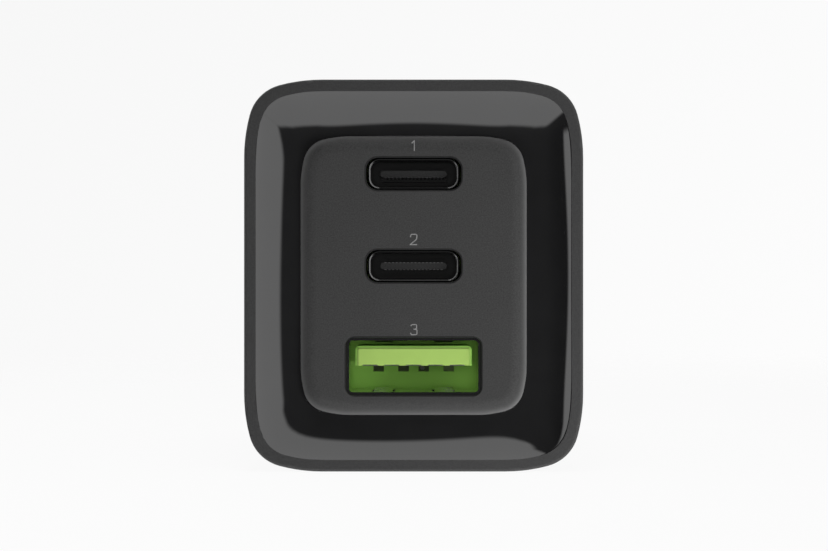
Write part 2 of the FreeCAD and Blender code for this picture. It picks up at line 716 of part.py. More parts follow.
def make_port_panel():
    """Matte raised panel, hollow behind, with a flange behind the frame and three openings."""
    thickness = "layout.panel_back - sizes.panel_recess"
    crown_outline = outline("crown_outline", "layout.panel_width + 2 * sizes.panel_edge_trim",
                            "layout.panel_height + 2 * sizes.panel_edge_trim",
                            "sizes.panel_corner_radius + sizes.panel_edge_trim", "sizes.panel_recess")
    crown = extrude("crown", crown_outline, thickness)
    crown_round = rounded("crown_round", crown, [
        (edges_in_plane(crown, "sizes.panel_recess"), sheet.panel_edge_radius),
    ])
    panel_outline = outline("panel_outline", "layout.panel_width - 2 * sizes.panel_fit",
                            "layout.panel_height - 2 * sizes.panel_fit",
                            "sizes.panel_corner_radius - sizes.panel_fit", "sizes.panel_recess")
    pillow = common("panel_pillow", crown_round, extrude("panel_blank", panel_outline, thickness))
    flange_outline = outline("flange_outline", "layout.panel_width + 2 * sizes.panel_flange",
                             "layout.panel_height + 2 * sizes.panel_flange",
                             "sizes.frame_corner_radius", "layout.frame_back")
    flange = extrude("flange", flange_outline, "sizes.panel_flange_thickness")
    hollow_outline = outline("panel_hollow_outline", "layout.panel_width - 2 * sizes.panel_wall",
                             "layout.panel_height - 2 * sizes.panel_wall",
                             "sizes.panel_corner_radius", "sizes.panel_recess + sizes.panel_wall")
    hollow = extrude("panel_hollow", hollow_outline, "layout.panel_back")
    holes = {
        "slim_upper_hole": (rounded_rectangle, "layout.slim_upper_z", "layout.slim_hole_width",
                            "layout.slim_hole_height", "layout.slim_hole_corner"),
        "slim_lower_hole": (rounded_rectangle, "layout.slim_lower_z", "layout.slim_hole_width",
                            "layout.slim_hole_height", "layout.slim_hole_corner"),
        "wide_hole": (rounded_rectangle, "layout.wide_z", "layout.wide_hole_width",
                      "layout.wide_hole_height", "sizes.wide_corner_radius"),
    }
    cutters = [hole_cutter(name, *hole) for name, hole in holes.items()]
    pierced = cut("panel_pierced", fuse("panel_solid", pillow, flange), hollow, *cutters)
    rims = []
    for _, z, width, height, *_ in holes.values():
        reach = Vector(number(width) / 2, 1, number(height) / 2) * 1.001
        middle = Vector(0, number(at_depth("sizes.panel_recess")), number(z))
        low = middle - reach
        high = middle + reach
        zone = FreeCAD.BoundBox(low.x, low.y, low.z, high.x, high.y, high.z)
        rims += edges_in_plane(pierced, "sizes.panel_recess", zone)
    finish(rounded("panel_rims", pierced, [(rims, sheet.hole_edge_radius)]), "port_panel")


# Plug


def make_pin(side, sign):
    """Turned mains pin: tail, collar, slim core and bare end, with its sleeve and strip."""
    x = f"{sign} * sizes.pin_pitch / 2"
    pin = new_body(f"pin_{side}")
    inner = "-sizes.nose_length - sizes.shell_rear_wall"
    levels = [
        ("sizes.pin_tail_diameter", f"{inner} - sizes.pin_tail_length"),
        ("sizes.pin_collar_diameter", inner),
        ("sizes.pin_core_diameter", "-sizes.sleeve_embed"),
        ("sizes.pin_diameter", "sizes.sleeve_length"),
    ]
    profile = [("0", levels[0][1])]
    for index, (diameter, start) in enumerate(levels):
        stop = levels[index + 1][1] if index + 1 < len(levels) else "sizes.pin_length"
        profile += [(f"{diameter} / 2", start), (f"{diameter} / 2", stop)]
    profile.append(("0", "sizes.pin_length"))
    sketch = stepped_profile(new_sketch(pin, f"pin_{side}_sketch", "XY_Plane"), profile)
    turned = revolve(pin, f"pin_{side}_turned", sketch, "Y_Axis")
    doc.recompute()
    tip = pin.newObject("PartDesign::Fillet", f"pin_{side}_tip")
    end = number("sizes.pin_length")
    tips = [index for index, edge in enumerate(turned.Shape.Edges, start=1)
            if edge.BoundBox.YMin > end - edge.BoundBox.DiagonalLength * 1e-3]
    tip.Base = (turned, [f"Edge{index}" for index in tips])
    tip.setExpression("Radius", "sizes.pin_tip_radius")
    finish(place(pin, x), f"plug_pin_{side}")

    sleeve = new_body(f"sleeve_{side}")
    ring = new_sketch(sleeve, f"sleeve_{side}_sketch", z="sizes.sleeve_embed")
    circle(circle(ring, "sizes.sleeve_diameter"), "sizes.pin_core_diameter")
    grow(sleeve, f"sleeve_{side}_pad", ring, "sizes.sleeve_embed + sizes.sleeve_length")
    finish(place(sleeve, x), f"pin_sleeve_{side}")

    strip = new_body(f"strip_{side}")
    drop = "layout.board_top"
    bend = [
        ("-sizes.strip_thickness - sizes.strip_foot", drop),
        ("0", drop),
        ("0", "sizes.strip_width / 2"),
        ("-sizes.strip_thickness", "sizes.strip_width / 2"),
        ("-sizes.strip_thickness", f"{drop} + sizes.strip_thickness"),
        ("-sizes.strip_thickness - sizes.strip_foot", f"{drop} + sizes.strip_thickness"),
    ]
    bent = stepped_profile(new_sketch(strip, f"strip_{side}_sketch", "YZ_Plane",
                                      z="-sizes.strip_width / 2"), bend)
    grow(strip, f"strip_{side}_pad", bent, "sizes.strip_width", towards_plug=False)
    eye = circle(new_sketch(strip, f"strip_{side}_eye", z="sizes.strip_thickness"),
                 "sizes.pin_tail_diameter")
    grow(strip, f"strip_{side}_pocket", eye, "sizes.strip_thickness", "Pocket", towards_plug=False)
    finish(place(strip, x, at_depth("layout.rear_wall_depth")), f"pin_contact_{side}")


# Sockets


def slim_reach(margin):
    """Height above the middle of a slim opening that holds its edges and not its shell's outer edges."""
    return number("sizes.slim_opening_height") / 2 + margin


def make_slim_socket(level):
    """Slim socket: drawn shell, insulator whose tongue has a nose, and two rows of contacts behind it."""
    label = f"slim_socket_{level}"
    y = at_depth("layout.mouth_depth")
    z = f"layout.slim_{level}_z"
    shell = new_body(f"{label}_shell_body")
    wall = new_sketch(shell, f"{label}_wall")
    rounded_rectangle(wall, "layout.slim_shell_width", "layout.slim_shell_height",
                      "layout.slim_shell_corner")
    rounded_rectangle(wall, "sizes.slim_opening_width", "sizes.slim_opening_height",
                      "sizes.slim_corner_radius")
    tube = grow(shell, f"{label}_tube", wall, "sizes.socket_length")
    doc.recompute()
    opening = number("sizes.slim_opening_width") / 2
    near = number("sizes.slim_shell_wall") / 2
    mouth = [index for index, edge in enumerate(tube.Shape.Edges, start=1)
             if edge.BoundBox.YMax < near and edge.BoundBox.XMax < opening + near
             and edge.BoundBox.XMin > -opening - near and abs(edge.CenterOfMass.z) < slim_reach(near)]
    lip = shell.newObject("PartDesign::Fillet", f"{label}_lip")
    lip.Base = (tube, [f"Edge{index}" for index in mouth])
    lip.setExpression("Radius", "sizes.slim_lip_radius")
    finish(place(shell, y=y, z=z), f"{label}_shell")

    insulator = new_body(f"{label}_insulator_body")
    base = rounded_rectangle(new_sketch(insulator, f"{label}_base", z="-layout.slim_cavity_depth"),
                             "sizes.slim_opening_width", "sizes.slim_opening_height",
                             "sizes.slim_corner_radius")
    grow(insulator, f"{label}_plug", base, "sizes.slim_back_thickness")
    root = rectangle(new_sketch(insulator, f"{label}_root", z="-layout.slim_cavity_depth"),
                     "sizes.slim_tongue_width", "sizes.slim_root_thickness")
    grow(insulator, f"{label}_root_pad", root, "sizes.slim_root_length", towards_plug=False)
    tongue = stadium(new_sketch(insulator, f"{label}_tongue", z="-layout.slim_cavity_depth"),
                     "sizes.slim_tongue_width", "sizes.slim_tongue_thickness")
    grow(insulator, f"{label}_tongue_pad", tongue, "layout.slim_tongue_length", towards_plug=False)
    nose = stadium(new_sketch(insulator, f"{label}_nose", y="sizes.slim_contact_thickness / 2",
                              z="-sizes.slim_tongue_setback"),
                   "sizes.slim_tongue_width", "sizes.slim_tongue_thickness + sizes.slim_contact_thickness")
    grow(insulator, f"{label}_nose_pad", nose, "sizes.slim_contact_setback")
    finish(place(insulator, y=y, z=z), f"{label}_insulator")

    faces = {"top": "sizes.slim_tongue_thickness / 2",
             "bottom": "-sizes.slim_tongue_thickness / 2 - sizes.slim_contact_thickness"}
    strips = []
    for face, rise in faces.items():
        for index in range(SLIM_CONTACTS):
            x = f"({index} - ({SLIM_CONTACTS} - 1) / 2) * sizes.slim_contact_pitch"
            strips.append(block(f"{label}_{face}_{index}", x,
                                f"{y} + sizes.slim_tongue_setback + sizes.slim_contact_setback",
                                f"{z} + {rise}", "sizes.slim_contact_width",
                                "layout.slim_tongue_length - sizes.slim_root_length"
                                " - sizes.slim_contact_setback", "sizes.slim_contact_thickness"))
    contacts = doc.addObject("Part::Compound", f"{label}_rows")
    contacts.Links = strips
    finish(contacts, f"{label}_contacts")


def make_wide_shell():
    """Folded shell of the wide socket, with two spring fingers above and two below."""
    shell = new_body("wide_shell_body")
    wall = new_sketch(shell, "wide_wall")
    rounded_rectangle(wall, "layout.wide_shell_width", "layout.wide_shell_height",
                      "sizes.wide_corner_radius")
    rounded_rectangle(wall, "sizes.wide_opening_width", "sizes.wide_opening_height",
                      "sizes.wide_corner_radius - sizes.wide_shell_wall")
    grow(shell, "wide_tube", wall, "sizes.socket_length")
    window_length = "sizes.wide_spring_length + sizes.wide_spring_slit"
    for side, sign in SIDES.items():
        x = f"{sign} * sizes.wide_spring_pitch / 2"
        window = rectangle(new_sketch(shell, f"wide_window_{side}", "XY_Plane", x=x,
                                      y=f"sizes.wide_spring_start + ({window_length}) / 2"),
                           "sizes.wide_spring_width + 2 * sizes.wide_spring_slit", window_length)
        through = grow(shell, f"wide_window_cut_{side}", window, "layout.wide_shell_height", "Pocket",
                       towards_plug=False)
        through.Midplane = True
        for face, up in (("bottom", 1), ("top", -1)):
            finger = finger_profile(new_sketch(shell, f"wide_finger_{face}_{side}", "YZ_Plane", z=x), up)
            leaf = grow(shell, f"wide_leaf_{face}_{side}", finger, "sizes.wide_spring_width",
                        towards_plug=False)
            leaf.Midplane = True
    finish(place(shell, y=at_depth("layout.mouth_depth"), z="layout.wide_z"), "wide_socket_shell")


def finger_profile(sketch, up):
    """Side view of one spring finger: a leaf that leaves the wall in front and leans into the opening."""
    root_y = "sizes.wide_spring_start"
    tip_y = "sizes.wide_spring_start + sizes.wide_spring_length"
    outer = f"{-up} * layout.wide_shell_height / 2"
    lean = f"{up} * sizes.wide_spring_bend"
    wall = f"{up} * sizes.wide_shell_wall"
    corners = [
        (root_y, outer),
        (root_y, f"{outer} + {wall}"),
        (tip_y, f"{outer} + {wall} + {lean}"),
        (tip_y, f"{outer} + {lean}"),
    ]
    first = polygon(sketch, [(number(y), number(z)) for y, z in corners])
    for index, (y, z) in enumerate(corners):
        constrain(sketch, y, "DistanceX", -1, 1, first + index, 1)
        constrain(sketch, z, "DistanceY", -1, 1, first + index, 1)
    return sketch


def pad_x(index):
    """Sideways position of a pad in the row on the tongue."""
    return f"({index} - ({WIDE_PADS} - 1) / 2) * sizes.wide_pad_pitch"


def make_wide_insulator():
    """Moulded back wall and bevelled tongue of the wide socket, with contact slots and pad grooves."""
    body = new_body("wide_insulator_body")
    base = rounded_rectangle(new_sketch(body, "wide_base", z="-layout.wide_cavity_depth"),
                             "sizes.wide_opening_width", "sizes.wide_opening_height",
                             "sizes.wide_corner_radius - sizes.wide_shell_wall")
    grow(body, "wide_back", base, "sizes.wide_back_thickness")
    bar = rectangle(new_sketch(body, "wide_tongue", y="sizes.wide_tongue_rise",
                               z="-layout.wide_cavity_depth"),
                    "sizes.wide_tongue_width", "sizes.wide_tongue_thickness")
    tongue = grow(body, "wide_tongue_pad", bar, "layout.wide_tongue_length", towards_plug=False)
    doc.recompute()
    top = number("sizes.wide_tongue_rise + sizes.wide_tongue_thickness / 2")
    ridges = [index for index, edge in enumerate(tongue.Shape.Edges, start=1)
              if edge.BoundBox.YLength > number("layout.wide_tongue_length") * 0.99
              and abs(edge.BoundBox.ZMin - top) < edge.BoundBox.DiagonalLength * 1e-3]
    soft = body.newObject("PartDesign::Fillet", "wide_corners")
    soft.Base = (tongue, [f"Edge{index}" for index in ridges])
    soft.setExpression("Radius", "sizes.wide_tongue_corner")
    doc.recompute()
    setback = number("sizes.wide_tongue_setback")
    underside = number("layout.wide_tongue_underside")
    front = [index for index, edge in enumerate(soft.Shape.Edges, start=1)
             if edge.BoundBox.YMax < setback + edge.BoundBox.DiagonalLength * 1e-3
             and edge.BoundBox.ZMax > underside + edge.BoundBox.DiagonalLength * 1e-3]
    bevel = body.newObject("PartDesign::Chamfer", "wide_bevel")
    bevel.Base = (soft, [f"Edge{index}" for index in front])
    bevel.setExpression("Size", "sizes.wide_tongue_bevel")
    for pitch in WIDE_CONTACT_PITCHES:
        for side, sign in SIDES.items():
            x = f"{sign} * sizes.{pitch} / 2"
            slot = rectangle(new_sketch(body, f"{pitch}_slot_{side}", x=x,
                                        y="layout.wide_tongue_underside - sizes.wide_slot_height / 2",
                                        z="-layout.wide_cavity_depth"),
                             "sizes.wide_slot_width", "sizes.wide_slot_height")
            grow(body, f"{pitch}_slot_cut_{side}", slot, "sizes.wide_back_thickness", "Pocket",
                 towards_plug=False)
    for index in range(WIDE_PADS):
        groove = rectangle(new_sketch(body, f"wide_groove_{index}", x=pad_x(index),
                                      y="layout.wide_tongue_underside + sizes.wide_pad_thickness / 2",
                                      z="-sizes.wide_tongue_setback"),
                           "sizes.wide_pad_width", "sizes.wide_pad_thickness")
        grow(body, f"wide_groove_cut_{index}", groove, "sizes.wide_pad_length", "Pocket", towards_plug=False)
    finish(place(body, y=at_depth("layout.mouth_depth"), z="layout.wide_z"), "wide_socket_insulator")


def make_wide_contacts():
    """Four flat contacts that leave the slots under the tongue, and five pads let into its front."""
    strips = []
    for pitch in WIDE_CONTACT_PITCHES:
        for side, sign in SIDES.items():
            strips.append(block(f"{pitch}_contact_{side}", f"{sign} * sizes.{pitch} / 2",
                                at_depth("layout.mouth_depth + sizes.wide_tongue_setback"
                                         " + sizes.wide_contact_setback"),
                                "layout.wide_z + layout.wide_tongue_underside"
                                " - sizes.wide_contact_thickness",
                                "sizes.wide_contact_width",
                                "layout.wide_tongue_length + sizes.wide_back_thickness"
                                " - sizes.wide_contact_setback", "sizes.wide_contact_thickness"))
    for index in range(WIDE_PADS):
        strips.append(block(f"wide_pad_{index}", pad_x(index),
                            at_depth("layout.mouth_depth + sizes.wide_tongue_setback"),
                            "layout.wide_z + layout.wide_tongue_underside", "sizes.wide_pad_width",
                            "sizes.wide_pad_length", "sizes.wide_pad_thickness"))
    contacts = doc.addObject("Part::Compound", "wide_contact_group")
    contacts.Links = strips
    finish(contacts, "wide_socket_contacts")


# Boards


def make_port_board():
    """Upright board that carries the sockets and seats against the rails' front ends."""
    body = new_body("port_board_body")
    plate = rounded_rectangle(new_sketch(body, "port_board_sketch"), "layout.board_width",
                              "layout.cavity_height - 2 * sizes.board_side_gap", "sizes.port_board_corner")
    grow(body, "port_board_pad", plate, "sizes.board_thickness")
    finish(place(body, y=at_depth("layout.port_board_depth")), "port_board")
    chips = {"upper": ("layout.slim_upper_z", "layout.slim_lower_z"),
             "lower": ("layout.slim_lower_z", "layout.wide_z")}
    for level, (above, below) in chips.items():
        chip = block(f"protocol_chip_{level}_box", "0",
                     at_depth("layout.port_board_depth - sizes.protocol_chip_height"),
                     f"({above} + {below} - sizes.protocol_chip_size) / 2",
                     "sizes.protocol_chip_size", "sizes.protocol_chip_height", "sizes.protocol_chip_size")
        finish(chip, f"protocol_chip_{level}")


def make_main_board():
    """Level board in the rails, with an isolation slot under the transformer."""
    body = new_body("main_board_body")
    length = "layout.rear_wall_depth - layout.main_board_depth - sizes.board_side_gap"
    plate = new_sketch(body, "main_board_sketch", "XY_Plane")
    rectangle(plate, "layout.board_width", length)
    grow(body, "main_board_pad", plate, "sizes.board_thickness", towards_plug=False)
    slot = rectangle(new_sketch(body, "isolation_sketch", "XY_Plane", x="layout.core_x",
                                y=f"layout.core_row_depth - layout.main_board_depth - ({length}) / 2"
                                " + sizes.core_length / 2"),
                     "sizes.isolation_slot_length", "sizes.isolation_slot_width")
    grow(body, "isolation_cut", slot, "sizes.board_thickness", "Pocket", towards_plug=True)
    finish(place(body, y=f"{at_depth('layout.main_board_depth')} + ({length}) / 2",
                 z="layout.board_underside"), "main_board")


# Parts on the main board


def make_capacitor(label, kind, x, depth):
    """Round can with a crimp near its foot and a rounded top edge, standing on the board."""
    body = new_body(f"{label}_body")
    radius = f"sizes.{kind}_diameter / 2"
    length = f"sizes.{kind}_length"
    crimp = f"{radius} - sizes.capacitor_crimp_depth"
    low = "sizes.capacitor_crimp_height"
    high = "sizes.capacitor_crimp_height + sizes.capacitor_crimp_width"
    profile = [("0", "0"), (radius, "0"), (radius, low), (crimp, low), (crimp, high), (radius, high),
               (radius, length), ("0", length)]
    sketch = stepped_profile(new_sketch(body, f"{label}_sketch"), profile)
    can = revolve(body, f"{label}_can", sketch, "Z_Axis")
    doc.recompute()
    top = number(length)
    rims = [index for index, edge in enumerate(can.Shape.Edges, start=1)
            if edge.BoundBox.ZMin > top - edge.BoundBox.DiagonalLength * 1e-3]
    soft = body.newObject("PartDesign::Fillet", f"{label}_edge")
    soft.Base = (can, [f"Edge{index}" for index in rims])
    soft.setExpression("Radius", "sizes.capacitor_edge_radius")
    finish(place(body, x, f"{at_depth(depth)} + {radius}", "layout.board_top"), label)


def make_capacitors():
    """Two output capacitors behind the port board and two bulk capacitors at the rear."""
    rows = {"output_capacitor": "layout.output_row_depth", "bulk_capacitor": "layout.bulk_row_depth"}
    for kind, depth in rows.items():
        pitch = f"(sizes.{kind}_diameter + sizes.{kind}_spacing)"
        for index, side in enumerate(SIDES):
            x = f"layout.board_left + sizes.{kind}_diameter / 2 + {index} * {pitch}"
            make_capacitor(f"{kind}_{side}", kind, x, depth)


def make_transformer():
    """Two E-shaped core halves around a bobbin with its winding."""
    x = "layout.core_x"
    y = at_depth("layout.core_row_depth + sizes.core_length / 2")
    half = "sizes.core_length / 2"
    outer = "sizes.core_width / 2"
    leg = "sizes.core_width / 2 - sizes.core_outer_leg"
    middle = "sizes.core_centre_leg / 2"
    for name, sign in (("front", -1), ("rear", 1)):
        back = f"{sign} * {half}"
        floor = f"{sign} * ({half} - sizes.core_back)"
        profile = [(f"-{outer}", back), (outer, back), (outer, "0"), (leg, "0"), (leg, floor),
                   (middle, floor), (middle, "0"), (f"-{middle}", "0"), (f"-{middle}", floor),
                   (f"-({leg})", floor), (f"-({leg})", "0"), (f"-{outer}", "0")]
        core = new_body(f"core_{name}")
        sketch = stepped_profile(new_sketch(core, f"core_{name}_sketch", "XY_Plane",
                                            z="-sizes.core_height / 2"), profile)
        grow(core, f"core_{name}_pad", sketch, "sizes.core_height", towards_plug=False)
        finish(place(core, x, y, "layout.core_z"), f"transformer_core_{name}")

    bobbin = new_body("bobbin_body")
    start = "layout.bobbin_length / 2"
    tube = new_sketch(bobbin, "bobbin_tube", z=start)
    rectangle(tube, "layout.bobbin_tube_width", "layout.bobbin_tube_height")
    rectangle(tube, "layout.bobbin_bore_width", "layout.bobbin_bore_height")
    grow(bobbin, "bobbin_tube_pad", tube, "layout.bobbin_length")
    ends = {"front": start, "rear": f"sizes.bobbin_flange_thickness - {start}"}
    for name, offset in ends.items():
        flange = new_sketch(bobbin, f"bobbin_flange_{name}", z=offset)
        rounded_rectangle(flange, "layout.bobbin_flange_width", "sizes.bobbin_flange_height",
                          "sizes.bobbin_corner_radius")
        rectangle(flange, "layout.bobbin_bore_width", "layout.bobbin_bore_height")
        grow(bobbin, f"bobbin_flange_pad_{name}", flange, "sizes.bobbin_flange_thickness")
    finish(place(bobbin, x, y, "layout.core_z"), "transformer_bobbin")

    winding = new_body("winding_body")
    coil = new_sketch(winding, "winding_sketch", z="layout.winding_length / 2")
    rounded_rectangle(coil, "layout.bobbin_flange_width - 2 * sizes.winding_inset",
                      "sizes.bobbin_flange_height - 2 * sizes.winding_inset", "sizes.bobbin_corner_radius")
    rectangle(coil, "layout.bobbin_tube_width", "layout.bobbin_tube_height")
    grow(winding, "winding_pad", coil, "layout.winding_length")
    finish(place(winding, x, y, "layout.core_z"), "transformer_winding")


def make_choke():
    """Ring core that stands on its lower winding, with a second winding above."""
    x = "layout.board_right - layout.choke_width / 2"
    y = at_depth("layout.bulk_row_depth + sizes.bulk_capacitor_diameter / 2")
    z = "layout.board_top + layout.choke_outer_radius"
    core = new_body("choke_core_body")
    section = new_sketch(core, "choke_section", y="(sizes.choke_diameter + sizes.choke_bore) / 4")
    rectangle(section, "sizes.choke_thickness", "(sizes.choke_diameter - sizes.choke_bore) / 2")
    revolve(core, "choke_ring", section, "X_Axis")
    finish(place(core, x, y, z), "choke_core")
    for name, sign in (("upper", 1), ("lower", -1)):
        winding = new_body(f"choke_winding_{name}_body")
        turns = new_sketch(winding, f"choke_turns_{name}",
                           y=f"{sign} * (layout.choke_outer_radius + layout.choke_inner_radius) / 2")
        rectangle(turns, "layout.choke_width", "layout.choke_outer_radius - layout.choke_inner_radius")
        rectangle(turns, "sizes.choke_thickness + 2 * sizes.choke_fit",
                  "(sizes.choke_diameter - sizes.choke_bore) / 2 + 2 * sizes.choke_fit")
        revolve(winding, f"choke_winding_{name}_turns", turns, "X_Axis", "sizes.choke_winding_angle")
        finish(place(winding, x, y, z), f"choke_winding_{name}")


def make_small_parts():
    """Film and disc capacitors and the optocoupler, standing on the main board."""
    film = block("film_box", "layout.board_right - sizes.film_thickness / 2",
                 at_depth("layout.core_row_depth"), "layout.board_top",
                 "sizes.film_thickness", "sizes.film_length", "sizes.film_height")
    doc.recompute()
    uprights = [index for index, edge in enumerate(film.Shape.Edges, start=1)
                if edge.BoundBox.ZLength > edge.BoundBox.XLength + edge.BoundBox.YLength]
    finish(rounded("film_round", film, [(uprights, sheet.film_edge_radius)]), "film_capacitor")

    coupler_x = ("layout.board_left + 2 * (sizes.output_capacitor_diameter"
                 " + sizes.output_capacitor_spacing) + sizes.coupler_width / 2")
    coupler = block("coupler_box", coupler_x, at_depth("layout.output_row_depth"), "layout.board_top",
                    "sizes.coupler_width", "sizes.coupler_length", "sizes.coupler_height")
    finish(chamfered("coupler_chamfer_edges", coupler, "ZMax", sheet.coupler_chamfer), "optocoupler")

    disc = new_body("disc_body")
    centre = "sizes.disc_rise + sizes.disc_diameter / 2"
    half = new_sketch(disc, "disc_sketch", y=f"{centre}")
    circle(half, "sizes.disc_diameter")
    puck = grow(disc, "disc_pad", half, "sizes.disc_thickness", towards_plug=False)
    puck.Midplane = True
    doc.recompute()
    soft = disc.newObject("PartDesign::Fillet", "disc_edge")
    round_edges = [index for index, edge in enumerate(puck.Shape.Edges, start=1) if edge.isClosed()]
    soft.Base = (puck, [f"Edge{index}" for index in round_edges])
    soft.setExpression("Radius", "sizes.disc_edge_radius")
    for side, sign in SIDES.items():
        lead = new_sketch(disc, f"disc_lead_{side}", "XY_Plane", x=f"{sign} * sizes.disc_lead_pitch / 2")
        circle(lead, "sizes.disc_lead_diameter")
        grow(disc, f"disc_lead_pad_{side}", lead, centre, towards_plug=False)
    finish(place(disc, "layout.board_right - sizes.disc_diameter / 2",
                 at_depth("layout.output_row_depth + sizes.disc_thickness / 2"), "layout.board_top"),
           "disc_capacitor")


def chamfered(name, base, side, size):
    """Bevel the edges of a box's upper or lower face."""
    doc.recompute()
    level = getattr(base.Shape.BoundBox, side)
    near = base.Shape.BoundBox.DiagonalLength * 1e-4
    picked = [index for index, edge in enumerate(base.Shape.Edges, start=1)
              if abs(edge.BoundBox.ZMin - level) < near and abs(edge.BoundBox.ZMax - level) < near]
    feature = doc.addObject("Part::Chamfer", name)
    feature.Base = base
    feature.Edges = [(index, size, size) for index in picked]
    return feature


# Parts under the main board


def make_switches():
    """Two switch chips, the pad that takes their heat, the spreader and the insulating sheet."""
    first = at_depth("layout.switch_row_depth + sizes.pad_margin")
    second = f"{first} + sizes.rectifier_switch_size + sizes.switch_spacing"
    chips = {"rectifier_switch": first, "power_switch": second}
    for label, y in chips.items():
        size = f"sizes.{label}_size"
        chip = block(f"{label}_box", "0", y, "layout.switch_underside", size, size, "sizes.chip_height")
        finish(chamfered(f"{label}_bevel", chip, "ZMin", sheet.chip_chamfer), label)
    pad = block("pad_box", "0", at_depth("layout.switch_row_depth"),
                "layout.switch_underside - sizes.pad_thickness",
                "layout.pad_width", "layout.pad_length", "sizes.pad_thickness")
    finish(pad, "thermal_pad")

    spreader = new_body("spreader_body")
    half = "layout.spreader_width / 2"
    inner = f"{half} - sizes.spreader_thickness"
    floor = "sizes.spreader_thickness - layout.spreader_height"
    trough = [(f"-{half}", "-layout.spreader_height"), (half, "-layout.spreader_height"), (half, "0"),
              (inner, "0"), (inner, floor), (f"-({inner})", floor), (f"-({inner})", "0"), (f"-{half}", "0")]
    grow(spreader, "spreader_pad",
         stepped_profile(new_sketch(spreader, "spreader_sketch"), trough), "layout.pad_length")
    finish(place(spreader, y=at_depth("layout.switch_row_depth"), z="layout.board_underside"),
           "heat_spreader")
    sheet_box = block("film_sheet_box", "0", at_depth("layout.switch_row_depth - sizes.film_sheet_margin"),
                      "layout.board_underside - layout.spreader_height - sizes.film_sheet_thickness",
                      "layout.film_sheet_width",
                      "layout.pad_length + 2 * sizes.film_sheet_margin", "sizes.film_sheet_thickness")
    finish(sheet_box, "insulation_film")


def make_mains_side():
    """Bridge rectifier and fuse under the rear end of the main board."""
    bridge_z = "layout.board_underside - sizes.bridge_height"
    bridge = block("bridge_box", "layout.board_left + sizes.bridge_width / 2",
                   at_depth("layout.bulk_row_depth"), bridge_z,
                   "sizes.bridge_width", "sizes.bridge_length", "sizes.bridge_height")
    finish(chamfered("bridge_bevel", bridge, "ZMin", sheet.chip_chamfer), "bridge_rectifier")

    fuse_body = new_body("fuse_body")
    middle = rectangle(new_sketch(fuse_body, "fuse_sketch", "YZ_Plane", z="-sizes.fuse_width / 2"),
                       "sizes.fuse_length", "sizes.fuse_height")
    grow(fuse_body, "fuse_pad", middle, "sizes.fuse_width", towards_plug=False)
    waist = "sizes.fuse_width - 2 * sizes.fuse_cap"
    groove = new_sketch(fuse_body, "fuse_waist", "XY_Plane", z="-sizes.fuse_height / 2")
    rectangle(groove, waist, "sizes.fuse_length")
    grow(fuse_body, "fuse_waist_cut", groove, "sizes.chip_chamfer", "Pocket", towards_plug=True)
    finish(place(fuse_body, "layout.board_right - sizes.fuse_width / 2",
                 at_depth("layout.bulk_row_depth + sizes.fuse_length / 2"),
                 "layout.board_underside - sizes.fuse_height / 2"), "fuse")


def check_document():
    """Stop if an object of the document failed or a sub-part has no sound solid."""
    doc.recompute()
    for item in doc.Objects:
        if "Invalid" in item.State or "Error" in item.State:
            raise RuntimeError(f"{item.Name} ({item.Label}) failed: {item.State}")
    for node in nodes:
        if node.Shape.isNull() or not node.Shape.isValid() or not node.Shape.Solids:
            raise RuntimeError(f"{node.Label} has no sound solid")


def write_parts():
    """Write each sub-part to a file of its own."""
    os.makedirs("parts", exist_ok=True)
    for node in nodes:
        node.Shape.exportStep(f"parts/{node.Label}.step")


make_body_shell()
make_front_frame()
make_port_panel()
for side, sign in SIDES.items():
    make_pin(side, sign)
for level in ("upper", "lower"):
    make_slim_socket(level)
make_wide_shell()
make_wide_insulator()
make_wide_contacts()
make_port_board()
make_main_board()
make_capacitors()
make_transformer()
make_choke()
make_small_parts()
make_switches()
make_mains_side()
check_document()
write_parts()
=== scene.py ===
import json
import math

import bpy
from bpy.props import FloatProperty, FloatVectorProperty, PointerProperty
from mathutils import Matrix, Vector


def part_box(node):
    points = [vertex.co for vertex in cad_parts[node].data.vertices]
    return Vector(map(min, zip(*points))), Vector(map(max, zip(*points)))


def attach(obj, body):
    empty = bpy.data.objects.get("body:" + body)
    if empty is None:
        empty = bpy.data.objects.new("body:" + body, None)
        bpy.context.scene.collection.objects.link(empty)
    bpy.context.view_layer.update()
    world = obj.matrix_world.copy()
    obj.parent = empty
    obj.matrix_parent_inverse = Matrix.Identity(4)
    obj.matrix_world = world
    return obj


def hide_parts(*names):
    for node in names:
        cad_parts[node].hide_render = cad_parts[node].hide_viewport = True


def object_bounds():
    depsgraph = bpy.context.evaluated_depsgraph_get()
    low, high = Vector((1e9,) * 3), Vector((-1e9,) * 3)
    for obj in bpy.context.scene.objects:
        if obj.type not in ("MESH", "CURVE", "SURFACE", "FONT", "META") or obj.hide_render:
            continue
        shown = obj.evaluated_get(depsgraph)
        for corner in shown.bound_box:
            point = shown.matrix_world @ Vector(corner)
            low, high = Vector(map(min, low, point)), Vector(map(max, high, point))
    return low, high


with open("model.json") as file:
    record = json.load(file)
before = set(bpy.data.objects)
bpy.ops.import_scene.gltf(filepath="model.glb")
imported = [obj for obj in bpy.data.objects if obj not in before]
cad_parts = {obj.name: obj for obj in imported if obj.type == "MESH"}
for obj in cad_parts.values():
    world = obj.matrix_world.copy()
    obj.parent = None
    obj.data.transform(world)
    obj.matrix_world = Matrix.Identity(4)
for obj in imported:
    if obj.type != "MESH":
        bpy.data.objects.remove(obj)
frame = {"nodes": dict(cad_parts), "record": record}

bl_info = {
    "name": "Wall Charger Dresser",
    "version": (1, 0, 0),
    "blender": (4, 5, 0),
    "location": "View3D > Sidebar > Charger",
    "description": "Finishes, printed numerals and a studio for a compact wall charger",
    "category": "Object",
}

CAD_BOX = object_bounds()
MM = 0.001
IMAGE_WIDTH = 828
SENSOR_WIDTH = 36.0
DISH_STEPS = 48
ROUND_STEPS = 288


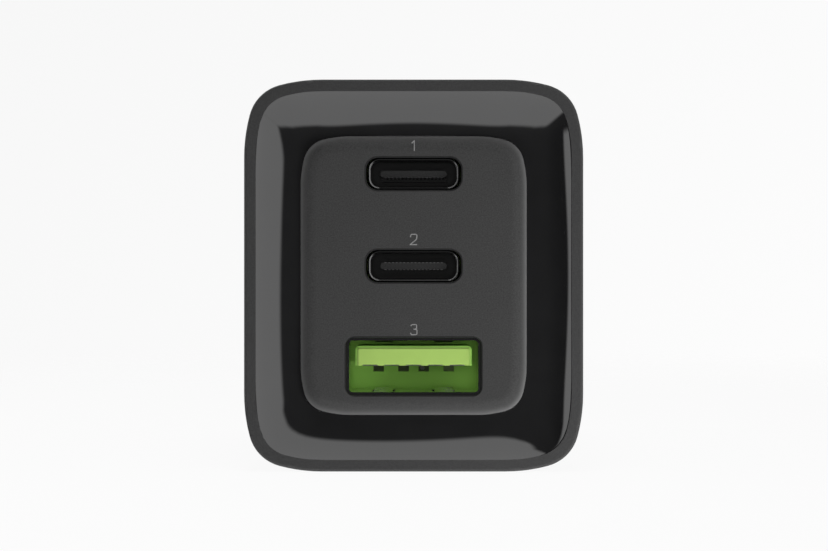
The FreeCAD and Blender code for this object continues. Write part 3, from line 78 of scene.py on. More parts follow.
class Shade:
    """Fixed colours of the parts that have no setting of their own."""

    STEEL = (0.62, 0.62, 0.61)
    # Painted shade for the wide socket's front edge
    STEEL_EDGE_SHADE = (0.28, 0.28, 0.28)
    DARK_NICKEL = (0.016, 0.016, 0.016)
    # Painted highlight on the slim sockets' lips
    HIGHLIGHT_NICKEL = (0.16, 0.16, 0.16)
    # Painted shade beyond the slim tongues' outline
    TONGUE_EDGE_SHADE = (0.008, 0.008, 0.008)
    CONTACT_END = (0.085, 0.085, 0.085)
    CONTACT_NICKEL = (0.14, 0.14, 0.14)
    CONTACT_TIN = (0.66, 0.66, 0.67)
    SLEEVE = (0.03, 0.03, 0.031)
    STRIP_BRASS = (0.66, 0.48, 0.2)
    PIN_NICKEL = (0.62, 0.60, 0.56)
    PIN_BRASS = (0.66, 0.53, 0.32)
    TINNED_PAD = (0.55, 0.55, 0.52)
    CHIP = (0.022, 0.022, 0.024)
    FERRITE = (0.055, 0.055, 0.06)
    BOBBIN = (0.028, 0.028, 0.028)
    TAPE_LAP = (0.5, 0.34, 0.03)
    # Painted shade between the turns of wire
    COPPER_GROOVE_SHADE = (0.24, 0.07, 0.025)
    COPPER_RIDGE = (0.62, 0.25, 0.1)
    CAN_SLEEVE = (0.03, 0.034, 0.05)
    ALUMINIUM = (0.62, 0.62, 0.64)
    FILM_CASE = (0.5, 0.42, 0.09)
    DISC = (0.04, 0.16, 0.42)
    FUSE = (0.4, 0.37, 0.3)
    SILICONE = (0.36, 0.42, 0.48)
    SPREADER = (0.68, 0.68, 0.69)
    SHEET = (0.66, 0.66, 0.63)
    PAPER_DARK = (0.93, 0.93, 0.93)
    PAPER_PALE = (0.97, 0.97, 0.97)
    WHITE = (1.0, 1.0, 1.0)


def node_box(name):
    """Lowest and highest corner of a CAD node as vectors."""
    low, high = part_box(name)
    return Vector(low), Vector(high)


def node_middle(name):
    """Middle of a CAD node."""
    low, high = node_box(name)
    return (low + high) / 2


def node_half(name):
    """Half sizes of a CAD node, in millimetres."""
    low, high = node_box(name)
    return (high - low) / (2 * MM)


def nodes_of(slot):
    """CAD objects whose record entry names a material slot."""
    names = [part["node"] for part in frame["record"]["subparts"] if part["material_slot"] == slot]
    return [frame["nodes"][name] for name in names]


def scaled(shade, share):
    """Colour times a share, with no channel above 1."""
    return tuple(min(1.0, value * share) for value in shade)


def colour(name, words, default):
    """Colour property."""
    return FloatVectorProperty(name=name, description=words, subtype="COLOR", size=3, min=0.0, max=1.0,
                               default=default)


def length(name, words, millimetres):
    """Length property, with its default in millimetres."""
    return FloatProperty(name=name, description=words, unit="LENGTH", subtype="DISTANCE", min=0.0,
                         default=millimetres * MM, precision=6)


def angle(name, words, degrees):
    """Angle property, with its default in degrees."""
    return FloatProperty(name=name, description=words, subtype="ANGLE", default=math.radians(degrees))


def factor(name, words, default):
    """Plain number property."""
    return FloatProperty(name=name, description=words, min=0.0, default=default)


def power(name, words, watts):
    """Lamp power property."""
    return FloatProperty(name=name, description=words, subtype="POWER", default=watts)


class ChargerFinishes(bpy.types.PropertyGroup):
    """Colours and grain of the charger's surfaces."""

    shell: colour("Shell", "Matte plastic of the case", (0.035, 0.035, 0.0352))
    panel: colour("Panel", "Matte plastic of the socket panel", (0.0355, 0.0355, 0.0355))
    ring: colour("Ring", "Lacquer of the dished ring", (0.0092, 0.0092, 0.0096))
    green: colour("Green insulator", "Plastic of the wide socket's tongue and back", (0.335, 0.505, 0.122))
    # Colour painted at the back of the wide socket for the green light bounced inside it
    green_bounce: colour("Deep green", "The same plastic at the back of the socket", (0.315, 0.63, 0.11))
    slim: colour("Slim insulator", "Plastic inside the slim sockets", (0.030, 0.030, 0.030))
    board: colour("Board", "Coat of the circuit boards", (0.11, 0.155, 0.062))
    tape: colour("Tape", "Tape round the transformer winding", (0.75, 0.55, 0.05))
    ink: colour("Ink", "Printed numerals on the panel", (0.2, 0.2, 0.2))
    grain: length("Grain", "Size of the fine grain on matte plastic", 0.12)


class ChargerRing(bpy.types.PropertyGroup):
    """Shape of the dished ring between the rim and the panel."""

    face: length("Face width", "Width of the dished face", 4.22)
    land: length("Land", "Flat edge beside the rim", 0.02)
    overrun: length("Overrun", "How far the dish's arc would run on under the panel", 0.3)
    outer_slope: angle("Outer slope", "Slope of the dish at the rim", 38)
    inner_slope: angle("Inner slope", "Slope of the dish at the end of its arc", 4)
    corner_slope: factor("Corner slope", "How much steeper the dish starts at the corners of the rim", 0.3)
    corner_reach: length("Corner reach", "Distance from the rim over which the steeper part fades", 1.2)
    flow: factor("Flow", "Exponent of the outlines, which run from side to side in one curve", 8.2)
    tuck: length("Tuck", "How far the ring runs under the edges of the rim and the panel", 0.06)


class ChargerPrint(bpy.types.PropertyGroup):
    """Sizes of the numerals above the sockets."""

    height: length("Height", "Height of a numeral", 0.97)
    stroke: length("Stroke", "Width of a numeral's stroke", 0.105)
    lift: length("Lift", "Thickness of the ink above the panel", 0.008)
    gaps: FloatVectorProperty(name="Gaps", description="Space between each numeral and the socket below it",
                              unit="LENGTH", size=3, default=(0.68 * MM, 0.55 * MM, 0.33 * MM))


class ChargerStudio(bpy.types.PropertyGroup):
    """Camera, lamps and the light that the gloss ring mirrors."""

    distance: length("Camera distance", "From the camera to the front rim", 280.0)
    pixels_per_mm: factor("Scale", "Image pixels per millimetre at the front rim", 10.37)
    offset_x: length("Camera offset", "Camera's shift to the right of the charger's middle", 0.034)
    offset_z: length("Camera rise", "Camera's shift above the charger's middle", 0.006)
    right_start: angle("Light on the right", "Angle off the view where the right light starts", 35.6)
    right_slant: angle("Right slant", "Direction of its second edge, upwards from the right", 24.4)
    slant_start: angle("Slant start", "Angle off the view where that second edge starts", 33.6)
    left_start: angle("Light on the left", "Angle off the view where the left light starts", 67.3)
    left_slant: angle("Left slant", "Direction of its second edge, upwards from the left", 25)
    below_start: angle("Light below", "Angle off the view where the light below starts", 25.5)
    below_spread: angle("Spread below", "Direction of its edges, from below to both sides", 12.6)
    below_limit: angle("Limit below", "Least angle off the view of the light below", 21.8)
    below_end: angle("End below", "Direction of its left end, downwards from the right", 62.5)
    above_start: angle("Light above", "Angle off the view where the light above starts", 34.0)
    above_turn: angle("Turn above", "Direction of the light above, upwards from the right", 45)
    above_end: angle("End above", "Direction of its left end, upwards from the right", 14)
    corner_start: angle("Corner light", "Angle off the view where the right and upper lights meet", 33.8)
    corner_turn: angle("Corner turn", "Direction of the corner light, upwards from the right", 35)
    seam_turn: angle("Seam turn", "Direction across the faint seam, upwards from the right", 65)
    soft: factor("Softness", "Half width of the lights' soft edges", 0.05)
    backdrop: factor("Backdrop", "Brightness of the backdrop's middle", 0.957)
    backdrop_right: factor("Backdrop right", "How much brighter the backdrop gets to the right", 0.11)
    backdrop_down: factor("Backdrop down", "How much brighter the backdrop gets downwards", 0.1)
    light_level: factor("Light", "Strength of the large soft lights", 1.27)
    dark_level: factor("Dark", "Strength of the dark room round the camera", 0.045)
    spill: factor("Spill", "Share of the large lights that matte surfaces receive", 0.2)
    key_power: power("Key power", "Power of the near lamp low on the right", 0.056)
    left_power: power("Left power", "Power of the grazing lamp on the left", 0.11)
    upper_power: power("Upper power", "Power of the grazing lamp above", 0.2)
    lower_power: power("Lower power", "Power of the grazing lamp below", 0.27)
    front_power: power("Front power", "Power of the lamp behind the camera", 0.21)


class Field:
    """Value that varies over a surface: a node's output with Python's operators."""

    def __init__(self, graph, socket):
        self.graph = graph
        self.socket = socket

    def maths(self, operation, *values):
        """Scalar maths."""
        return self.graph.node("ShaderNodeMath", {"operation": operation}, values)

    def __add__(self, other):
        return self.maths("ADD", self, other)

    __radd__ = __add__

    def __sub__(self, other):
        return self.maths("SUBTRACT", self, other)

    def __rsub__(self, other):
        return self.maths("SUBTRACT", other, self)

    def __mul__(self, other):
        return self.maths("MULTIPLY", self, other)

    __rmul__ = __mul__

    def __neg__(self):
        return self * -1.0

    def __abs__(self):
        return self | -self

    def __or__(self, other):
        return self.maths("MAXIMUM", self, other)

    def __and__(self, other):
        return self.maths("MINIMUM", self, other)

    def root(self):
        """Square root."""
        return self.maths("SQRT", self)

    def rise(self, low, high):
        """Smooth step from 0 at the low value to 1 at the high value."""
        return self.graph.node("ShaderNodeMapRange", {"interpolation_type": "SMOOTHSTEP"},
                               {"Value": self, "From Min": low, "From Max": high})

    def wave(self, period):
        """Sine of period length, from 0 to 1."""
        return self.maths("SINE", self * (2 * math.pi / period)) * 0.5 + 0.5

    def of(self, output):
        """Another output of the same node."""
        return Field(self.graph, self.socket.node.outputs[output])


class Graph:
    """Node tree that is written as expressions."""

    def __init__(self, tree):
        self.tree = tree
        tree.nodes.clear()

    def node(self, kind, settings=None, inputs=(), output=0):
        """Add a node: its settings first, then the values or links of its sockets."""
        made = self.tree.nodes.new(kind)
        for name, value in (settings or {}).items():
            setattr(made, name, value)
        pairs = inputs.items() if isinstance(inputs, dict) else enumerate(inputs)
        for key, value in pairs:
            self.feed(made.inputs[key], value)
        return Field(self, made.outputs[output]) if made.outputs else made

    def feed(self, socket, value):
        """Link a field to a socket, or set the socket to a plain value."""
        if isinstance(value, Field):
            self.tree.links.new(value.socket, socket)
        elif socket.type == "RGBA":
            socket.default_value = (*value[:3], 1.0)
        else:
            socket.default_value = value

    def mix(self, share, first, second):
        """Mix of two colours, by the numbers of the mix node's colour sockets."""
        sockets = {0: share, 6: first, 7: second}
        return self.node("ShaderNodeMix", {"data_type": "RGBA"}, sockets, output=2)

    def vector(self, operation, *values):
        """Vector maths."""
        return self.node("ShaderNodeVectorMath", {"operation": operation}, values)

    def parts(self, vector):
        """X, Y and Z of a vector."""
        split = self.node("ShaderNodeSeparateXYZ", None, (vector,))
        return split, split.of("Y"), split.of("Z")


class Finish(Graph):
    """Procedural material in the charger's own millimetres."""

    def __init__(self, name, **fixed):
        self.material = bpy.data.materials.new(name)
        self.material.use_nodes = True
        super().__init__(self.material.node_tree)
        self.shader = self.tree.nodes.new("ShaderNodeBsdfPrincipled")
        self.node("ShaderNodeOutputMaterial", None, (Field(self, self.shader.outputs[0]),))
        where = self.node("ShaderNodeTexCoord").of("Object")
        self.place = self.vector("MULTIPLY", where, (1 / MM, 1 / MM, 1 / MM))
        self.set(**fixed)

    def set(self, **sockets):
        """Set or link sockets of the main shader, named in lower case with underscores."""
        for name, value in sockets.items():
            words = ["IOR" if word == "ior" else word.capitalize() for word in name.split("_")]
            self.feed(self.shader.inputs[" ".join(words)], value)
        return self

    def noise(self, size, detail=2.0, stretch=(1, 1, 1)):
        """Noise from 0 to 1 whose features have a size in millimetres, stretched along the axes."""
        place = self.vector("DIVIDE", self.place, tuple(size * share for share in stretch))
        return self.node("ShaderNodeTexNoise", None, {"Vector": place, "Scale": 1.0, "Detail": detail})

    def cells(self, size, feature="F1"):
        """Distance field of cells whose size is in millimetres."""
        place = self.vector("DIVIDE", self.place, (size, size, size))
        return self.node("ShaderNodeTexVoronoi", {"feature": feature}, {"Vector": place, "Scale": 1.0})

    def axes(self, origin=(0.0, 0.0, 0.0)):
        """X, Y and Z in millimetres, from an origin in metres."""
        start = tuple(value / MM for value in origin)
        return self.parts(self.vector("SUBTRACT", self.place, start))

    def behind(self, name):
        """Distance behind the front of a CAD node, in millimetres."""
        front = node_box(name)[0]
        return self.axes(front)[1]

    def direction(self):
        """X, Y and Z of the direction in which the surface faces."""
        return self.parts(self.node("ShaderNodeNewGeometry").of("Normal"))

    def past_outline(self, middle, half_x, half_z, corner):
        """Distance outwards, in millimetres, from a rounded outline round a middle point in metres."""
        across, _, up = self.axes(middle)
        over = (abs(across) - (half_x - corner)) | 0.0
        above = (abs(up) - (half_z - corner)) | 0.0
        return (over * over + above * above).root() - corner

    def tint(self, shade, change, share):
        """Colour that varies round a shade by a share of it."""
        return self.mix(share, scaled(shade, 1 - change), scaled(shade, 1 + change))

    def bump(self, height, depth):
        """Relief of a depth in millimetres."""
        sockets = {"Height": height, "Distance": depth * MM, "Strength": 1.0}
        return self.set(normal=self.node("ShaderNodeBump", None, sockets))

    def plain(self):
        """Base colour as it is so far."""
        return Field(self, self.shader.inputs["Base Color"].links[0].from_socket)

    def dress(self, item):
        """Put this finish on one CAD node."""
        if not item.material_slots:
            item.data.materials.append(self.material)
        for place in item.material_slots:
            place.material = self.material

    def wear(self, slot):
        """Put this finish on every CAD node of a slot."""
        for item in nodes_of(slot):
            self.dress(item)
        return self.material


def moulded(name, shade, grain, roughness=0.55, depth=0.003):
    """Matte moulded plastic: fine spark-eroded grain, slight cloudiness and handled sheen."""
    finish = Finish(name, ior=1.47, specular_ior_level=0.35)
    fine = finish.noise(grain, detail=3.0)
    cloud = finish.noise(grain * 40, detail=2.0)
    pits = finish.cells(grain * 1.6)
    speckle = cloud * 0.05 + fine * 0.95
    finish.set(base_color=finish.tint(shade, 0.75, speckle),
               roughness=roughness + (fine - 0.5) * 0.12 + (cloud - 0.5) * 0.06)
    return finish.bump(fine * 0.7 + pits * 0.3, depth)


def plated(name, shade, grain, roughness=0.28, along=(1, 12, 1)):
    """Plated metal with fine drawing lines."""
    finish = Finish(name, metallic=1.0)
    lines = finish.noise(grain, detail=3.0, stretch=along)
    cloud = finish.noise(grain * 30)
    finish.set(base_color=finish.tint(shade, 0.08, lines * 0.5 + cloud * 0.5),
               roughness=roughness + (lines - 0.5) * 0.14 + (cloud - 0.5) * 0.08)
    return finish.bump(lines, 0.0015)


def flowing_outline(half_x, half_z, exponent, count):
    """Closed outline of a rounded box as one curve, with its points closest at the corners."""
    corners = 4
    evenness = 5
    points = []
    for index in range(count):
        turn = 2 * math.pi * index / count
        turn -= math.sin(corners * turn) / evenness
        x, z = math.cos(turn), math.sin(turn)
        reach = ((abs(x) / half_x) ** exponent + (abs(z) / half_z) ** exponent) ** (-1 / exponent)
        points.append((x * reach, z * reach))
    return points


def dish_levels(ring, width, front, back):
    """Inset, depth and extra depth at the corners of each line round the ring, starting at its back."""
    outer = math.sin(ring.outer_slope)
    radius = (ring.face + ring.overrun - ring.land) / (outer - math.sin(ring.inner_slope))
    last_slope = math.asin(outer - (width - ring.land) / radius)
    levels = [(0.0, back, 0.0), (0.0, front, 0.0)]
    for step in range(DISH_STEPS + 1):
        slope = ring.outer_slope + (last_slope - ring.outer_slope) * step / DISH_STEPS
        fall = radius * (math.cos(slope) - math.cos(ring.outer_slope))
        inset = ring.land + radius * (outer - math.sin(slope))
        deeper = ring.corner_slope * ring.corner_reach * (1 - math.exp(-inset / ring.corner_reach))
        levels.append((inset, front + fall, deeper))
    levels.append((width, back, 0.0))
    return levels


def closed_faces(levels, count):
    """Faces between lines of a number of points each, where the last line joins the first."""
    faces = []
    for level in range(levels):
        here = level * count
        there = (level + 1) % levels * count
        for index in range(count):
            following = (index + 1) % count
            faces.append((here + index, here + following, there + following, there + index))
    return faces


def dished_ring(ring):
    """Ring with a finely divided dish, in the place of the CAD ring."""
    low, high = node_box("front_frame")
    levels = dish_levels(ring, ring.face + 2 * ring.tuck, low.y, high.y)
    points = []
    for inset, y, deeper in levels:
        half_x, half_z = high.x + ring.tuck - inset, high.z + ring.tuck - inset
        for x, z in flowing_outline(half_x, half_z, ring.flow, ROUND_STEPS):
            cornered = (x / half_x * z / half_z) ** 2
            points.append((x, y + deeper * cornered, z))
    faces = closed_faces(len(levels), ROUND_STEPS)
    mesh = bpy.data.meshes.new("dished_ring")
    mesh.from_pydata(points, [], faces)
    # The outer wall and the land come before the dish, and they stay flat
    dish = range(2 * ROUND_STEPS, (2 + DISH_STEPS) * ROUND_STEPS)
    mesh.polygons.foreach_set("use_smooth", [face in dish for face in range(len(faces))])
    piece = bpy.data.objects.new("dished_ring", mesh)
    bpy.context.scene.collection.objects.link(piece)
    return piece


class ChargerOperator:
    """Shared access to the charger's settings."""

    bl_options = {"REGISTER", "UNDO"}

    @property
    def finishes(self):
        return bpy.context.scene.charger_finishes

    @property
    def grain(self):
        return self.finishes.grain / MM


class CHARGER_OT_housing(ChargerOperator, bpy.types.Operator):
    """Finish the case, the socket panel and the dished gloss ring"""

    bl_idname = "charger.housing"
    bl_label = "Housing"

    # The socket in each hole of the panel, the gap beside it and the hole's corner radius, in millimetres
    holes = (
        ("slim_socket_upper_shell", 0.18, 1.12),
        ("slim_socket_lower_shell", 0.18, 1.12),
        ("wide_socket_shell", 0.02, 0.87),
    )
    gap_above = 0.02

    def execute(self, context):
        moulded("shell_matte", self.finishes.shell, self.grain).wear("shell_matte")
        self.painted_light_panel().wear("panel_matte")
        ring = dished_ring(context.scene.charger_ring)
        ring.data.materials.append(self.lacquer().wear("frame_gloss"))
        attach(ring, "root")
        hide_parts("front_frame")
        return {"FINISHED"}

    def painted_light_panel(self):
        """The panel's matte plastic, with a painted highlight where its edge rounds away and a dark, partly
        metallic band of painted shade round the holes.
        """
        finish = moulded("panel_matte", self.finishes.panel, self.grain)
        facing = -finish.direction()[1]
        patchy = finish.noise(0.5, detail=3.0) * 0.3 + 0.85
        upper, lower, wide = [self.past_hole(finish, *place) for place in self.holes]
        hole = upper & lower & wide
        # Painted highlight on the rounded edge: its colour is made up to 4.6 times paler where it turns
        # away from the front
        rounded_edge = facing.rise(0.9, 0.36) * patchy * hole.rise(0.2, 0.4)
        rubbed = finish.mix(rounded_edge, finish.plain(), scaled(self.finishes.panel, 4.6))
        # Painted shade: a dark band round each hole, also made partly metallic
        hole_shade = hole.rise(0.2, 0.1)
        shade = finish.mix(hole_shade, rubbed, scaled(self.finishes.panel, 0.32))
        return finish.set(base_color=shade, metallic=hole_shade * 0.3)

    def past_hole(self, finish, socket, gap_beside, corner):
        """Distance outwards from the hole of a socket, in millimetres."""
        half = node_half(socket)
        half_x, half_z = half.x + gap_beside, half.z + self.gap_above
        return finish.past_outline(node_middle(socket), half_x, half_z, corner)

    def lacquer(self):
        """Polished dark lacquer: clear coat, faint flow waves and fine dust."""
        finish = Finish("ring_lacquer", ior=1.5, coat_weight=1.0, coat_roughness=0.02, coat_ior=1.5)
        flow = finish.noise(2.4, detail=1.0)
        dust = finish.cells(0.8).rise(0.04, 0.0)
        finish.set(base_color=finish.tint(self.finishes.ring, 0.15, flow),
                   roughness=0.06 + (flow - 0.5) * 0.02 + dust * 0.10)
        return finish


class CHARGER_OT_sockets(ChargerOperator, bpy.types.Operator):
    """Finish the socket shells, insulators and contacts"""

    bl_idname = "charger.sockets"
    bl_label = "Sockets"

    # Each slim socket, the rows of contact ends that show (below and above) and the strength of the painted
    # highlight along its lower lip
    slim_sockets = (
        ("upper", (-1,), 0.05),
        ("lower", (-1, 1), 0.3),
    )
    # Sizes of a slim socket in millimetres
    mouth_corner = 1.1
    tongue_half_width = 3.225
    tongue_half_height = 0.305
    contact_pitch = 0.365
    # Contacts of a row on each side of its middle
    contacts_each_side = 8

    def execute(self, context):
        self.sprung_steel().dress(frame["nodes"]["wide_socket_shell"])
        for level, rows, lip_highlight in self.slim_sockets:
            self.dark_nickel(level, lip_highlight).dress(frame["nodes"][f"slim_socket_{level}_shell"])
            self.slim_plastic(level, rows).dress(frame["nodes"][f"slim_socket_{level}_insulator"])
        self.green_plastic().wear("wide_plastic")
        nickel = plated("contact_nickel", Shade.CONTACT_NICKEL, grain=0.06, roughness=0.45)
        nickel.set(metallic=0.3).wear("contact_nickel")
        plated("contact_tin", Shade.CONTACT_TIN, grain=0.06, roughness=0.3).wear("contact_tin")
        return {"FINISHED"}

    def sprung_steel(self):
        """Drawn steel with painted shade on its front edge, whose springs are rubbed dull towards their
        outer sides.
        """
        finish = plated("socket_steel", Shade.STEEL, grain=0.08, roughness=0.14)
        across, _, up = finish.axes(node_middle("wide_socket_shell"))
        behind = finish.behind("wide_socket_shell")
        side = abs(across)
        springs = up.rise(-2.0, -2.2) | up.rise(2.0, 2.2) * 0.4
        outer_side = side.rise(2.2, 3.2) * side.rise(4.0, 3.9)
        rubbed = outer_side * springs * behind.rise(1.3, 1.5)
        # Painted shade: the shell's front edge is coloured darker
        edge_shade = behind.rise(0.3, 0.15)
        return finish.set(base_color=finish.mix(edge_shade, finish.plain(), Shade.STEEL_EDGE_SHADE),
                          metallic=1 - rubbed * 0.7)

    def dark_nickel(self, level, lip_highlight):
        """Dark plating with a painted highlight, paler and less metallic, at both ends of the mouth and
        along its lower lip.
        """
        finish = Finish(f"socket_dark_nickel_{level}")
        middle = node_middle(f"slim_socket_{level}_shell")
        half = node_half(f"slim_socket_{level}_shell")
        across, _, up = finish.axes(middle)
        mouth = finish.past_outline(middle, half.x, half.z, self.mouth_corner).rise(-0.08, -0.14)
        ends = abs(across).rise(3.2, 3.5) * up.rise(1.25, 0.85)
        lower_lip = up.rise(-1.2, -1.4) * lip_highlight
        # Painted highlight: the lip is coloured paler and made less metallic at the mouth's ends and along
        # its lower lip
        worn = (ends | lower_lip) * mouth
        lines = finish.noise(0.08, detail=3.0, stretch=(1, 12, 1))
        dark = finish.tint(Shade.DARK_NICKEL, 0.15, lines)
        finish.set(base_color=finish.mix(worn, dark, Shade.HIGHLIGHT_NICKEL), metallic=1 - worn * 0.7,
                   roughness=0.16 + lines * 0.1)
        return finish.bump(lines, 0.0015)

    def slim_plastic(self, level, rows):
        """Dark plastic: a tongue with painted shade beyond its round-ended outline, contact ends along its
        edges, and painted light that makes the wall behind paler.
        """
        name = f"slim_plastic_{level}"
        finish = moulded(name, self.finishes.slim, grain=0.10, roughness=0.42, depth=0.002)
        insulator = f"slim_socket_{level}_insulator"
        middle = node_middle(insulator)
        across, _, up = finish.axes(middle)
        height = self.tongue_half_height
        # Painted shade: near black beyond the tongue's round-ended outline
        edge = finish.past_outline(middle, self.tongue_half_width, height, height).rise(-0.01, 0.03)
        pitch = self.contact_pitch
        row_end = self.contacts_each_side * pitch
        in_row = abs(across).rise(row_end + pitch / 10, row_end - pitch / 10)
        tips = (across - pitch / 4).wave(pitch).rise(0.4, 0.6) * in_row
        shade = finish.mix(edge, finish.plain(), Shade.TONGUE_EDGE_SHADE)
        for row in rows:
            shade = finish.mix(tips * (up * row).rise(0.28, 0.30), shade, Shade.CONTACT_END)
        # Painted light: the wall is coloured paler towards the back of the socket
        wall = finish.behind(insulator).rise(0.6, 2.4)
        return finish.set(base_color=finish.mix(wall, shade, scaled(self.finishes.slim, 1.45)))

    def green_plastic(self):
        """Green moulded plastic: flow marks, a soft sheen, and painted light towards the back: a deeper
        green for light bounced inside the socket, paler towards the sides.
        """
        finish = Finish("green_plastic", ior=1.5, specular_ior_level=0.4)
        across, _, _ = finish.axes(node_middle("wide_socket_insulator"))
        flow = finish.noise(1.5, detail=2.0, stretch=(1, 3, 1))
        fine = finish.noise(0.09, detail=3.0)
        pale = finish.tint(self.finishes.green, 0.07, flow * 0.6 + fine * 0.4)
        # Painted light: the back is a deeper green for light bounced inside the socket, and paler towards
        # the sides
        outer = scaled(self.finishes.green_bounce, 1.3)
        bounce_tone = finish.mix(abs(across).rise(1.5, 5.5), self.finishes.green_bounce, outer)
        back = finish.behind("wide_socket_insulator").rise(0.0, 0.3)
        finish.set(base_color=finish.mix(back, pale, bounce_tone), roughness=0.42 + (fine - 0.5) * 0.12)
        return finish.bump(fine, 0.002)


class CHARGER_OT_plug(ChargerOperator, bpy.types.Operator):
    """Finish the plug's pins, sleeves and contact strips"""

    bl_idname = "charger.plug"
    bl_label = "Plug"

    def execute(self, context):
        self.turned_pin().wear("pin_nickel")
        moulded("sleeve_plastic", Shade.SLEEVE, self.grain, roughness=0.5).wear("sleeve_plastic")
        strip = plated("strip_brass", Shade.STRIP_BRASS, grain=0.2, roughness=0.32, along=(1, 1, 10))
        strip.wear("strip_brass")
        return {"FINISHED"}

    def turned_pin(self):
        """Nickel on turned brass: rings from the tool, scuffs along the pin and a worn tip."""
        finish = Finish("pin_nickel", metallic=1.0)
        _, along, _ = finish.axes()
        rings = finish.noise(0.05, detail=2.0, stretch=(60, 1, 60))
        scuff = finish.noise(0.3, detail=4.0, stretch=(1, 14, 1)).rise(0.55, 0.75)
        pin_end = CAD_BOX[1][1] / MM
        worn_length = 4.0
        tip = along.rise(pin_end - worn_length, pin_end)
        plating = finish.mix(tip * scuff, Shade.PIN_NICKEL, Shade.PIN_BRASS)
        finish.set(base_color=plating, roughness=0.2 + rings * 0.12 + scuff * 0.16)
        return finish.bump(rings - scuff * 0.4, 0.002)


class CHARGER_OT_boards(ChargerOperator, bpy.types.Operator):
    """Finish the circuit boards and the chips on them"""

    bl_idname = "charger.boards"
    bl_label = "Boards and chips"

    def execute(self, context):
        self.coated_board().wear("board_green")
        self.chip().wear("chip_epoxy")
        return {"FINISHED"}

    def coated_board(self):
        """Coated laminate: copper tracks that shine through the coat, tinned pads and glass weave."""
        finish = Finish("board_green", ior=1.5)
        tracks = finish.cells(2.2, "DISTANCE_TO_EDGE").rise(0.14, 0.1)
        pads = finish.cells(1.9).rise(0.16, 0.12)
        across, along, up = finish.axes()
        weave = (across + up).wave(0.5) * along.wave(0.5)
        coat = finish.tint(self.finishes.board, 0.12, weave)
        laid = finish.mix(tracks, coat, scaled(self.finishes.board, 1.9))
        finish.set(base_color=finish.mix(pads, laid, Shade.TINNED_PAD), metallic=pads * 0.9,
                   roughness=0.38 - pads * 0.12 + (weave - 0.5) * 0.05)
        return finish.bump(tracks * 0.6 + pads, 0.02)

    def chip(self):
        """Moulded chip body: fine sandy grain and a faint polish on the flats."""
        finish = Finish("chip_epoxy", ior=1.5)
        sand = finish.noise(0.05, detail=4.0)
        patch = finish.noise(2.0)
        finish.set(base_color=finish.tint(Shade.CHIP, 0.2, sand),
                   roughness=0.5 + (sand - 0.5) * 0.2 - patch * 0.08)
        return finish.bump(sand, 0.004)


class CHARGER_OT_wound_parts(ChargerOperator, bpy.types.Operator):
    """Finish the transformer and the choke"""

    bl_idname = "charger.wound_parts"
    bl_label = "Transformer and choke"

    def execute(self, context):
        self.ferrite().wear("core_ferrite")
        moulded("bobbin_plastic", Shade.BOBBIN, grain=0.2, roughness=0.48).wear("bobbin_plastic")
        self.tape().wear("winding_tape")
        self.copper_turns().wear("winding_copper")
        return {"FINISHED"}

    def ferrite(self):
        """Sintered ferrite: dark grey, with pores and grinding lines."""
        finish = Finish("core_ferrite", ior=1.6)
        pores = finish.cells(0.35).rise(0.12, 0.02)
        lines = finish.noise(0.08, detail=2.0, stretch=(14, 1, 1))
        finish.set(base_color=finish.tint(Shade.FERRITE, 0.25, lines),
                   roughness=0.42 + lines * 0.15 + pores * 0.2)
        return finish.bump(lines * 0.4 - pores, 0.01)

    def tape(self):
        """Wrapped tape: overlapping edges every few millimetres and trapped wrinkles."""
        finish = Finish("winding_tape", ior=1.5, coat_weight=0.4, coat_roughness=0.12)
        _, along, _ = finish.axes()
        laps = along.wave(3.1).rise(0.93, 1.0)
        wrinkle = finish.noise(1.4, detail=3.0, stretch=(1, 4, 1))
        shade = finish.tint(self.finishes.tape, 0.14, wrinkle)
        finish.set(base_color=finish.mix(laps * 0.5, shade, Shade.TAPE_LAP),
                   roughness=0.32 + wrinkle * 0.16)
        return finish.bump(wrinkle * 0.5 + laps, 0.03)

    def copper_turns(self):
        """Enamelled copper wire wound round a ring: one ridge for each turn, with painted shade in the
        grooves between them.
        """
        finish = Finish("winding_copper", metallic=0.85, coat_weight=0.5, coat_roughness=0.1)
        _, along, up = finish.axes(node_middle("choke_core"))
        turn_pitch = math.radians(9)
        ridges = up.maths("ARCTAN2", up, along).wave(turn_pitch)
        tone = finish.noise(0.6)
        # Painted shade: the copper is coloured darker in the grooves between the turns
        finish.set(base_color=finish.mix(ridges, Shade.COPPER_GROOVE_SHADE, Shade.COPPER_RIDGE),
                   roughness=0.26 + tone * 0.12)
        return finish.bump(ridges, 0.12)


